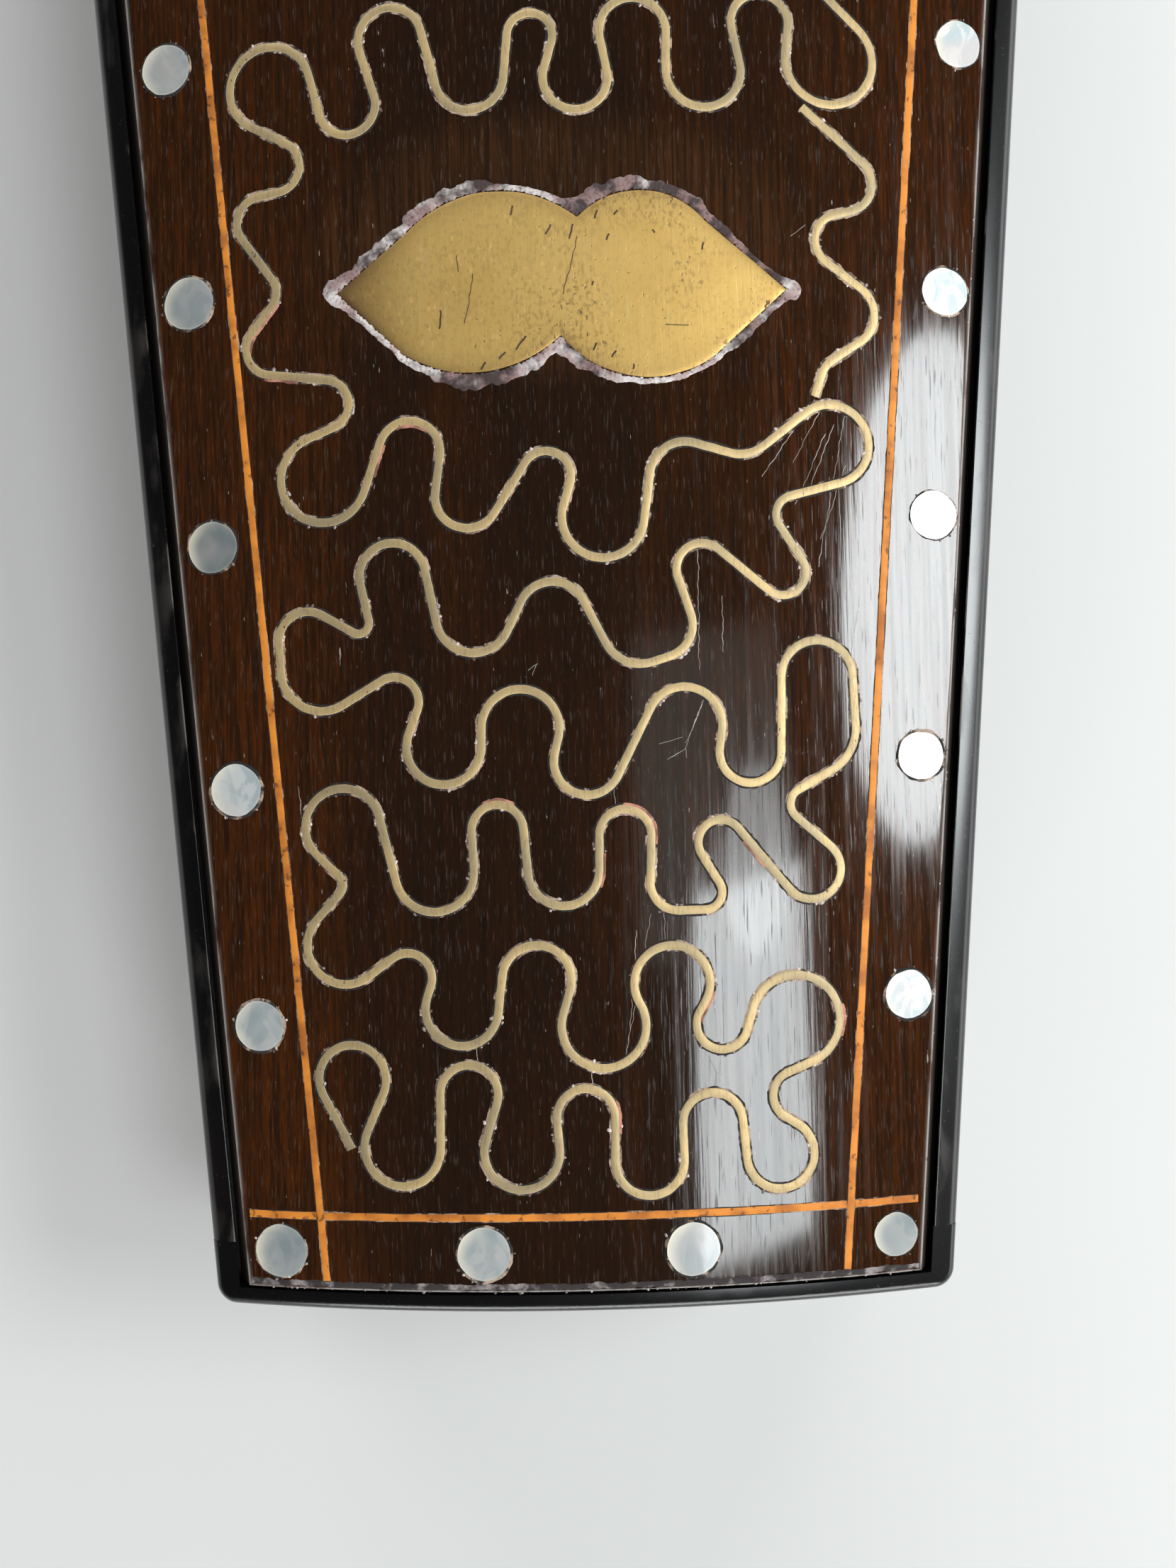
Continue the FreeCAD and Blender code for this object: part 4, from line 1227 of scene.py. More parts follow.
class Bend:
    """One bend of the strip. Its radius is positive where the strip turns left."""

    def __init__(self, centre: Point, radius: float = 0.0) -> None:
        """Keep the centre and the radius. An end of the strip has no radius."""
        self.centre = centre
        self.radius = radius

    @classmethod
    def read(cls, across: float, along: float, radius: float, repeated: bool) -> Bend:
        """A bend at a place read off the picture."""
        centre, scale = READING.on_lid(across, along, repeated)
        return cls(centre, radius * scale)

    def run_to(self, other: Bend) -> tuple[Point, Point]:
        """Straight run from this bend to the next.

        Args:
            other: The next bend.

        Returns:
            Where the run leaves this bend and where it meets the next.
        """
        between = other.centre - self.centre
        lean = math.asin((other.radius - self.radius) / np.linalg.norm(between))
        heading = math.atan2(between[1], between[0]) - lean
        left = np.array((-math.sin(heading), math.cos(heading)))
        return self.centre - left * self.radius, other.centre - left * other.radius

    def arc(self, start: Point, end: Point, step: float) -> list[Point]:
        """Points round the bend, without the last.

        Args:
            start: Where the strip meets the bend.
            end: Where it leaves the bend.
            step: About how far apart the points are.

        Returns:
            The points.
        """
        first, last = start - self.centre, end - self.centre
        angle = math.atan2(last[1], last[0]) - math.atan2(first[1], first[0])
        full = 2 * math.pi
        angle = angle % full if self.radius > 0 else -((-angle) % full)
        count = max(2, int(abs(angle * self.radius) / step))
        made = []
        for turn in (angle * k / count for k in range(count)):
            cos, sin = math.cos(turn), math.sin(turn)
            across, along = first[0] * cos - first[1] * sin, first[0] * sin + first[1] * cos
            made.append(self.centre + np.array((across, along)))
        return made


@dataclass
class StripLine:
    """Middle line of one length of brass strip."""

    node: str
    start: Bend
    bends: list[Bend]
    end: Bend

    def points(self, step: float) -> np.ndarray:
        """Points along the line.

        Args:
            step: About how far apart they are.

        Returns:
            The points, from the start to the end.
        """
        stations = [self.start, *self.bends, self.end]
        runs = [a.run_to(b) for a, b in zip(stations, stations[1:])]
        made: list[Point] = []
        for i, (leave, meet) in enumerate(runs):
            count = max(1, int(np.linalg.norm(meet - leave) / step))
            made += [leave + (meet - leave) * k / count for k in range(count)]
            if i < len(self.bends):
                made += self.bends[i].arc(meet, runs[i + 1][0], step)
        made.append(runs[-1][1])
        return np.array(made)


def strip_lines() -> list[StripLine]:
    """Work out the brass strip.

    Returns:
        All its lengths in the order in which they are laid.
    """
    rows = [
        ("row_one", ROW_ONE), ("row_two", ROW_TWO), ("row_three", ROW_THREE), ("row_four", ROW_FOUR),
        ("row_five", ROW_FIVE), ("row_six", ROW_SIX), ("left_link", LEFT_LINK), ("row_seven", ROW_SEVEN),
    ]
    laid = [(name, [Bend.read(*bend, False) for bend in row]) for name, row in rows]
    repeats = [
        ("row_eight", ROW_FIVE), ("row_nine", ROW_FOUR), ("row_ten", ROW_THREE), ("row_eleven", ROW_TWO),
        ("row_twelve", ROW_ONE),
    ]
    laid += [(name, [Bend.read(*bend, True) for bend in reversed(row)]) for name, row in repeats]
    lines = []
    start = Bend(READING.on_lid(*STRIP_START)[0])
    for i, (name, bends) in enumerate(laid):
        if i + 1 < len(laid):
            leave, meet = bends[-1].run_to(laid[i + 1][1][0])
            end = Bend((leave + meet) / 2)
        else:
            end = Bend(READING.on_lid(*STRIP_START, True)[0])
        lines.append(StripLine(f"wire_{name}", start, bends, end))
        start = end
    ends = [Bend(READING.on_lid(*place)[0]) for place in (RIGHT_LINK_START, RIGHT_LINK_END)]
    link = [Bend.read(*bend, False) for bend in RIGHT_LINK]
    lines.append(StripLine("wire_right_link", ends[0], link, ends[1]))
    return lines


def drawn_lines(name: str, lines: Sequence[np.ndarray], material: bpy.types.Material) -> bpy.types.Object:
    """Object of flat lines for the strip tree.

    Args:
        name: Name of the piece.
        lines: Points along each line, in millimetres.
        material: Its material.

    Returns:
        The object.
    """
    verts: list[Sequence[float]] = []
    edges: list[tuple[int, int]] = []
    for line in lines:
        first = len(verts)
        verts += [(x, y, 0.0) for x, y in line]
        edges += [(first + k, first + k + 1) for k in range(len(line) - 1)]
    return new_object(name, verts, edges, [], material)


def along_line(start: Sequence[float], end: Sequence[float], step: float) -> np.ndarray:
    """Points on a straight line.

    Args:
        start: First point.
        end: Last point.
        step: About how far apart the points are.

    Returns:
        The points.
    """
    start, end = np.array(start, float), np.array(end, float)
    count = max(2, int(np.linalg.norm(end - start) / step))
    return start + (end - start) * np.linspace(0, 1, count + 1)[:, None]


# The lid


@dataclass
class Lid:
    """The sliding lid: board, brass, pearl, stringing and mastic. Sizes are in millimetres."""

    edge_places: tuple[float, ...] = (0.0, 0.06, 0.14, 0.26, 0.5, 1.0)
    edge_border: float = 2.0
    edge_drop: float = 0.1
    edge_round: float = 0.08
    # Paleness of the left, right and end edges: wear, and on the left edge also a painted highlight.
    edge_wear: tuple[float, float, float] = (0.6, 0.5, 0.35)
    wear_width: float = 0.3
    row_step: float = 1.5
    board_columns: int = 91
    board_waves: Unevenness = Unevenness(
        0.008, (0.3, 0.2), (Waves(1.0, (9.0, 14.0, 23.0), 5), Waves(1.0, (17.0, 29.0), 6)),
    )
    sunk: float = 0.035
    wire: StripLook = StripLook(0.8, 0.5, 0.02, 0.06, 0.11, 1100.0)
    wire_step: float = 0.3
    wire_bed: StripLook = StripLook(1.12, 0.06, -0.016, 0.01, 0.42, 1500.0)
    wire_bed_step: float = 0.19
    wire_crumbs: CrumbLook = CrumbLook(1700000.0, 0.04, 0.19, 3)
    lump: StripLook = StripLook(0.3, 0.06, 0.012, 0.02, 0.3, 1900.0)
    lump_reach: int = 5
    lump_offset: float = 0.45
    edge_bed: StripLook = StripLook(0.3, 0.05, -0.08, 0.01, 0.2, 900.0)
    edge_crumbs: CrumbLook = CrumbLook(1500000.0, 0.03, 0.15, 5)
    edge_step: float = 0.4
    edge_inset: float = 0.3
    crumbs_from_end: float = 0.1
    grime: StripLook = StripLook(0.55, 0.06, -0.018, 0.01, 0.6, 1300.0)
    grime_step: float = 0.2
    grime_from_end: float = 0.5
    scratch: StripLook = StripLook(0.05, 0.03, -0.024, 0.004, 0.06, 1500.0)
    plate_scratch: StripLook = StripLook(0.07, 0.03, 0.055, 0.004, 0.06, 1500.0)
    plate_pit: StripLook = StripLook(0.15, 0.03, 0.055, 0.004, 0.06, 1500.0)
    scratch_step: float = 0.25
    scratch_sway: Waves = Waves(0.1, (5.0, 2.2, 1.1))
    string: StripLook = StripLook(0.68, 0.5, 0.006, 0.03, 0.16, 500.0)
    string_bed: StripLook = StripLook(0.84, 0.06, -0.018, 0.01, 0.24, 900.0)
    string_step: float = 0.5
    string_gap: float = 0.05
    left_shifts: tuple[float, ...] = (0.0, -0.26, -0.28, -0.14, 0.04, 0.06, 0.08, -0.06, 0.0)
    right_shifts: tuple[float, ...] = (0.04, 0.06, 0.08, 0.16, -0.06, 0.2, -0.08, 0.1, 0.0)
    narrow_dots: int = 2
    wide_dots: int = 3
    dot: DotLook = DotLook(PLAN.dot_radius, 0.6, 0.01, 0.4, 420.0)
    dot_seed: int = 31
    dot_scales: tuple[float, float] = (0.95, 1.0)
    right_scale: float = 0.92
    corner_scale: float = 0.83
    dot_bed: DotLook = DotLook(PLAN.dot_radius, 0.1, -0.014, 0.5, 900.0)
    dot_bed_scales: tuple[float, float] = (1.05, 1.12)
    ring_bed: StripLook = StripLook(0.3, 0.05, -0.016, 0.01, 0.2, 900.0)
    ring_crumbs: CrumbLook = CrumbLook(1500000.0, 0.03, 0.15, 9)
    ring_points: int = 60
    outline_step: float = 0.3
    lobe_points: int = 80
    plaque_columns: int = 240
    plaque_rows: int = 56
    plaque_proud: float = 0.03
    plaque_drop: float = 0.16
    plaque_round: float = 0.22
    plaque_rim: float = 0.7
    plaque_waves: Unevenness = Unevenness(
        0.02, (0.4, 0.3), (Waves(1.0, (4.1, 7.3, 11.0), 8), Waves(1.0, (5.0, 9.0, 13.0), 9)),
    )
    plaque_skirt: float = 0.6
    side_nearness: float = 0.8
    tip_nearness: float = 0.6
    bed_points: int = 1400
    bed_look_ahead: int = 3
    bed_swell: tuple[Waves, Waves] = (Waves(0.3, (5.3, 3.1, 1.9), 12), Waves(0.12, (1.3, 0.9, 0.7), 13))
    bed_sway: Waves = Waves(0.05, (2.1, 1.3, 0.7, 0.4), 20)
    bed_lumps: Waves = Waves(0.06, (1.9, 1.1, 0.7, 0.4), 40)

    def build(self) -> None:
        """Make and dress all pieces of the lid."""
        self.strip_tree = StripTree()
        self.dot_tree = DotTree()
        self.crumb_tree = CrumbTree()
        self.mastic = Mastic().make()
        self.dirt = DARK_BEDDING.make()
        self.board()
        self.strips()
        self.strings()
        self.dots()
        self.plaque()
        self.scratches()

    def board(self) -> None:
        """Crowned board with bevelled edges."""
        near = np.array(self.edge_places)
        low, high, border = PLAN.lid_low, PLAN.lid_high, self.edge_border
        inner = np.arange(low + border, high - border, self.row_step)
        rows = np.concatenate([low + near, inner, high - near[::-1]])
        under = PLAN.ledge + PLAN.lid_lift
        lean = PLAN.lid_bevel / PLAN.rail_height
        foot = PLAN.lid_inset - PLAN.lid_bevel
        share = np.linspace(-1, 1, self.board_columns)[1:-1]
        left_wear_and_highlight, right_wear, end_wear = self.edge_wear
        verts, edge = [], []
        for y in rows:
            half = PLAN.half_width(y)
            top = half - foot - lean * (crown_at(half - PLAN.lid_inset, y) - under)
            xs = np.concatenate([-top + near, share * (top - border), (top - near)[::-1]])
            to_side, to_end = top - np.abs(xs), min(y - low, high - y)
            inset = np.minimum(to_side, to_end)
            round_off = self.edge_drop * np.exp(-inset / self.edge_round)
            zs = crown_at(xs, y) - self.sunk - round_off + self.board_waves.at(xs, y)
            verts += [(-(half - foot), y, under), *zip(xs, np.full_like(xs, y), zs), (half - foot, y, under)]
            wear = np.where(to_side < to_end, np.where(xs < 0, left_wear_and_highlight, right_wear), end_wear)
            edge += [0.0, *(np.clip(1 - inset / self.wear_width, 0, 1) * wear), 0.0]
        count = len(verts) // len(rows)
        piece = new_object("lid_panel", verts, [], sweep_faces(len(rows), count), Rosewood().make())
        # The bevelled edges get the raw wood darkened as painted shade of the slot.
        piece.data.materials.append(SLOT_SHADE_WOOD.make())
        for face in piece.data.polygons:
            if {v % count for v in face.vertices} & {0, count - 1}:
                face.material_index = 1
        keep_number(piece, "edge", edge)
        turn_outwards(piece)
        smooth(piece, degrees=35)
        settle(piece, Body.LID, ("lid_board",))

    def lay(
        self, name: str, lines: Sequence[np.ndarray], look: StripLook, material: bpy.types.Material,
        stands_for: Sequence[str] = (),
    ) -> bpy.types.Object:
        """Lay a strip along lines.

        Args:
            name: Name of the piece.
            lines: The lines, drawn flat.
            look: Sizes of the strip.
            material: Its finish.
            stands_for: Nodes that it replaces.

        Returns:
            The piece.
        """
        piece = drawn_lines(name, lines, material)
        self.strip_tree.run(piece, look.inputs(), material)
        settle(piece, Body.LID, stands_for)
        return piece

    def scatter(self, bed: bpy.types.Object, look: CrumbLook) -> None:
        """Turn a bed into crumbs of mastic."""
        self.crumb_tree.run(bed, look.inputs(), self.mastic)
        settle(bed, Body.LID)

    def crumb_line(self, name: str, lines: Sequence[np.ndarray], bed: StripLook, look: CrumbLook) -> None:
        """Crumbs of mastic along lines.

        Args:
            name: Name of the piece.
            lines: The lines, drawn flat.
            bed: Sizes of the strip that they lie on.
            look: Sizes of the crumbs.
        """
        piece = drawn_lines(name, lines, self.mastic)
        self.strip_tree.run(piece, bed.inputs(), self.mastic)
        self.scatter(piece, look)

    def strips(self) -> None:
        """Brass strip, row by row, with its bedding."""
        brass = BrassStrip().make()
        lines = strip_lines()
        for line in lines:
            name = line.node.replace("wire", "strip")
            self.lay(name, [line.points(self.wire_step)], self.wire, brass, (line.node,))
        fine = [line.points(self.wire_bed_step) for line in lines]
        bedding = self.lay("strip_bedding", fine, self.wire_bed, self.dirt)
        crumbs = bpy.data.objects.new("strip_crumbs", bedding.data.copy())
        bpy.context.scene.collection.objects.link(crumbs)
        self.scatter(crumbs, self.wire_crumbs)
        self.red_patches(np.concatenate([line.points(self.wire_step) for line in lines]))
        self.edge_dirt()

    def red_patches(self, strip: np.ndarray) -> None:
        """Lumps of red mastic beside the strip.

        Args:
            strip: Points along all of the strip.
        """
        lines = []
        for place in RED_PATCHES:
            at = READING.on_lid(*place)[0]
            near = int(np.argmin(np.linalg.norm(strip - at, axis=1)))
            part = strip[max(near - self.lump_reach, 0):near + self.lump_reach + 1]
            ahead = part[-1] - part[0]
            out = np.array((-ahead[1], ahead[0])) / np.linalg.norm(ahead)
            side = 1.0 if (at - strip[near]) @ out > 0 else -1.0
            lines.append(part + out * side * self.lump_offset)
        self.lay("red_mastic", lines, self.lump, RED_MASTIC.make())

    def edge_dirt(self) -> None:
        """Crumbs along the lid's narrow end and right edge, and grime on that end."""
        low, high = PLAN.lid_low, PLAN.lid_high
        near, far = (PLAN.half_width(y) - PLAN.lid_inset - self.edge_inset for y in (low, high))
        end, grimy = low + self.crumbs_from_end, low + self.grime_from_end
        lines = [
            along_line((-near, end), (near, end), self.edge_step),
            along_line((near, low), (far, high), self.edge_step),
        ]
        self.crumb_line("edge_crumbs", lines, self.edge_bed, self.edge_crumbs)
        band = along_line((-near, grimy), (near, grimy), self.grime_step)
        self.lay("end_grime", [band], self.grime, GREY_GRIME.make())

    def scratches(self) -> None:
        """Fine pale scratches in the varnish, and dark ones and pits in the plaque."""
        pale, dark = PALE_SCRATCH.make(), DARK_SCRATCH.make()
        for name, places, look, slot, material in (
            ("varnish_scratches", SCRATCHES, self.scratch, Slot.ROSEWOOD, pale),
            ("plate_scratches", PLATE_SCRATCHES, self.plate_scratch, Slot.PLATE, dark),
            ("plate_pits", PLATE_PITS, self.plate_pit, Slot.PLATE, dark),
        ):
            self.lay(name, [self.stroke(*place) for place in places], look, material)

    def stroke(self, u0: float, v0: float, u1: float, v1: float) -> np.ndarray:
        """Uneven line between two places.

        Args:
            u0: Place across of its start, as read.
            v0: Place along of its start.
            u1: Place across of its end.
            v1: Place along of its end.

        Returns:
            Points along it.
        """
        start, end = READING.on_lid(u0, v0)[0], READING.on_lid(u1, v1)[0]
        line = along_line(start, end, self.scratch_step)
        travelled = np.linspace(0, np.linalg.norm(end - start), len(line))
        line[:, 0] += self.scratch_sway.at(travelled, int(10 * abs(u0)))
        return line

    def strings(self) -> None:
        """Orange lines along the sides and across the ends."""
        wood = Stringing().make()
        low, high = PLAN.lid_low + PLAN.string_edge, PLAN.lid_high - PLAN.string_edge
        margins = {-1: PLAN.string_margin_left, 1: PLAN.string_margin_right}
        lines: dict[str, list[np.ndarray]] = {}
        for name, side in (("left_string", -1), ("right_string", 1)):
            ends = [(side * (PLAN.half_width(y) - margins[side]), y) for y in (low, high)]
            lines[name] = [along_line(*ends, self.string_step)]
        for name, y in (
            ("narrow_string", PLAN.narrow_end + PLAN.string_margin_end),
            ("wide_string", PLAN.wide_end - PLAN.string_margin_end),
        ):
            reach = PLAN.half_width(y) - PLAN.lid_inset - PLAN.string_edge
            clear = self.string.width / 2 + self.string_gap
            left, right = (side * (PLAN.half_width(y) - margins[side]) for side in (-1, 1))
            cuts = ((-reach, left - clear), (left + clear, right - clear), (right + clear, reach))
            lines[name] = [along_line((a, y), (b, y), self.string_step) for a, b in cuts]
        for node, parts in lines.items():
            self.lay(node.replace("string", "line"), parts, self.string, wood, (node,))
        every = [line for parts in lines.values() for line in parts]
        self.lay("line_bedding", every, self.string_bed, self.dirt)

    def dot_rows(self) -> dict[str, list[np.ndarray]]:
        """Place the pearl dots.

        Returns:
            Their centres by node.
        """
        rows = {}
        for node, side, shifts, margin in (
            ("left_dots", -1, self.left_shifts, PLAN.dot_margin_left),
            ("right_dots", 1, self.right_shifts, PLAN.dot_margin_right),
        ):
            step = (PLAN.length - 2 * PLAN.dot_margin_end) / (len(shifts) - 1)
            first = PLAN.narrow_end + PLAN.dot_margin_end
            ys = [first + i * step + shift * 2 * PLAN.dot_radius for i, shift in enumerate(shifts)]
            rows[node] = [np.array((side * (PLAN.half_width(y) - margin), y)) for y in ys]
        for node, count, i in (("narrow_dots", self.narrow_dots, 0), ("wide_dots", self.wide_dots, -1)):
            left, right = rows["left_dots"][i], rows["right_dots"][i]
            rows[node] = [left + (right - left) * (k + 1) / (count + 1) for k in range(count)]
        return rows

    def dots(self) -> None:
        """Pearl dots, each in a ragged dark ring."""
        pearl = Pearl().make()
        chance = np.random.default_rng(self.dot_seed)
        everywhere: list[np.ndarray] = []
        spans: list[float] = []
        for node, centres in self.dot_rows().items():
            scales = chance.uniform(*self.dot_scales, len(centres))
            if node == "right_dots":
                scales *= self.right_scale
                scales[0] = self.corner_scale
            piece = self.dot_points(node.replace("dots", "pearls"), centres, scales)
            # Tones stand mostly for painted light and shade by row, with a random spread.
            painted_light_tones = chance.uniform(*DOT_PAINTED_LIGHT[node], len(centres))
            if node in SET_PAINTED_LIGHT:
                which, tone = SET_PAINTED_LIGHT[node]
                painted_light_tones[which] = tone
            keep_number(piece, "tone", painted_light_tones)
            self.dot_tree.run(piece, self.dot.inputs(), pearl)
            smooth(piece, degrees=40)
            settle(piece, Body.LID, (node,))
            everywhere += centres
            spans += list(scales * chance.uniform(*self.dot_bed_scales, len(centres)))
        rings = self.dot_points("pearl_bedding", everywhere, np.array(spans))
        self.dot_tree.run(rings, self.dot_bed.inputs(), self.dirt)
        settle(rings, Body.LID)
        turn = np.linspace(0, 2 * math.pi, self.ring_points)
        circle = np.column_stack((np.cos(turn), np.sin(turn))) * PLAN.dot_radius
        circles = [centre + circle * span for centre, span in zip(everywhere, spans)]
        self.crumb_line("pearl_crumbs", circles, self.ring_bed, self.ring_crumbs)

    def dot_points(self, name: str, centres: Sequence[np.ndarray], scales: np.ndarray) -> bpy.types.Object:
        """Object of points for the dot tree.

        Args:
            name: Name of the piece.
            centres: The points.
            scales: Scale of the dot at each point.

        Returns:
            The object.
        """
        piece = new_object(name, [(x, y, 0.0) for x, y in centres], [], [], self.dirt)
        keep_number(piece, "scale", scales)
        return piece

    def plaque_side(self, places: Sequence[tuple[float, float]], count: int) -> np.ndarray:
        """Upper or lower outline of the plaque.

        Args:
            places: Shoulder, crest, notch, crest and shoulder, as read.
            count: Number of points from tip to tip.

        Returns:
            The points, across and along.
        """
        tips = [READING.on_lid(*tip)[0] for tip in PLAQUE_TIPS]
        shoulder, crest, notch, other_crest, other_shoulder = (READING.on_lid(*p)[0] for p in places)
        made = [along_line(tips[0], shoulder, self.outline_step)]
        for a, b, c in ((shoulder, crest, notch), (notch, other_crest, other_shoulder)):
            rows = np.array((b - a, c - a)) * 2
            centre = a + np.linalg.solve(rows, np.array(((b - a) @ (b - a), (c - a) @ (c - a))))
            angles = np.unwrap([math.atan2(*(p - centre)[::-1]) for p in (a, b, c)])
            turn = np.linspace(angles[0], angles[2], self.lobe_points)
            radius = np.linalg.norm(a - centre)
            made.append(centre + radius * np.column_stack((np.cos(turn), np.sin(turn))))
        made.append(along_line(other_shoulder, tips[1], self.outline_step))
        line = np.concatenate(made)
        across = tips[0][0] + (tips[1][0] - tips[0][0]) * (1 - np.cos(np.linspace(0, math.pi, count))) / 2
        return np.column_stack((across, np.interp(across, line[:, 0], line[:, 1])))

    def plaque(self) -> None:
        """Brass plaque and the mastic that it lies in."""
        columns, rows, skirt = self.plaque_columns, self.plaque_rows, self.plaque_skirt
        top = self.plaque_side(PLAQUE_TOP, columns)
        bottom = self.plaque_side(PLAQUE_BOTTOM, columns)
        share = (1 - np.cos(np.linspace(0, math.pi, rows))) / 2
        verts, edge = [], []
        for (x, high), (_, low) in zip(top, bottom):
            ys = low + (high - low) * share
            inset = np.minimum(ys - low, high - ys) * self.side_nearness
            inset = np.minimum(inset, min(x - top[0, 0], top[-1, 0] - x) * self.tip_nearness)
            round_off = self.plaque_drop * np.exp(-inset / self.plaque_round)
            zs = crown_at(x, ys) + self.plaque_proud - round_off + self.plaque_waves.at(ys, x)
            verts += [(x, low, zs[0] - skirt), *zip(np.full(rows, x), ys, zs), (x, high, zs[-1] - skirt)]
            edge += [1.0, *np.exp(-inset / self.plaque_rim), 1.0]
        piece = new_object("brass_lobes", verts, [], sweep_faces(columns, rows + 2), BrassPlate().make())
        keep_number(piece, "edge", edge)
        turn_outwards(piece)
        smooth(piece, degrees=60)
        settle(piece, Body.LID, ("brass_plaque",))
        self.bed(np.concatenate([top, bottom[-2:0:-1]]))

    @staticmethod
    def round_plaque(stops: Sequence[tuple[float, ...]], across: np.ndarray, column: int) -> np.ndarray:
        """Width or paleness of the mastic at places across the lid."""
        places = [READING.on_lid(stop[0], 0.0)[0][0] for stop in stops]
        return np.interp(across, places, [stop[column] for stop in stops])

    def bed(self, outline: np.ndarray) -> None:
        """Uneven ridge of mastic round the plaque.

        Args:
            outline: Points round the plaque, with its upper side first.
        """
        count, ring, ahead = self.bed_points, len(BED_SECTION), self.bed_look_ahead
        steps = np.linalg.norm(np.diff(outline, axis=0, append=outline[:1]), axis=1)
        travelled = np.concatenate([[0.0], np.cumsum(steps)])
        even = np.linspace(0, travelled[-1], count, endpoint=False)
        closed = np.concatenate([outline, outline[:1]])
        line = np.column_stack([np.interp(even, travelled, closed[:, k]) for k in (0, 1)])
        way = np.roll(line, -ahead, axis=0) - np.roll(line, ahead, axis=0)
        way /= np.linalg.norm(way, axis=1)[:, None]
        out = np.column_stack((-way[:, 1], way[:, 0]))
        above = np.arange(count) < count * travelled[len(outline) // 2] / travelled[-1]
        sides = [[self.round_plaque(stops, line[:, 0], k) for stops in (BED_TOP, BED_BOTTOM)] for k in (1, 2)]
        width, pale = (np.where(above, *side) for side in sides)
        width = width * (1 + sum(waves.at(even) for waves in self.bed_swell))
        verts = []
        for k, (share, rise) in enumerate(BED_SECTION):
            offset = np.where(share < 0, share, share * width)
            place = line + out * (offset + self.bed_sway.at(even, k))[:, None]
            height = crown_at(place[:, 0], place[:, 1]) + rise + self.bed_lumps.at(even, k)
            verts.append(np.column_stack((place, height)))
        verts = np.stack(verts, axis=1).reshape(-1, 3)
        piece = new_object("plaque_bed", verts, [], sweep_faces(count, ring, True), PLAQUE_MASTIC.make())
        keep_number(piece, "pale", np.repeat(pale, ring))
        turn_outwards(piece)
        smooth(piece, degrees=50)
        settle(piece, Body.LID, ("plaque_mastic",))


# The case


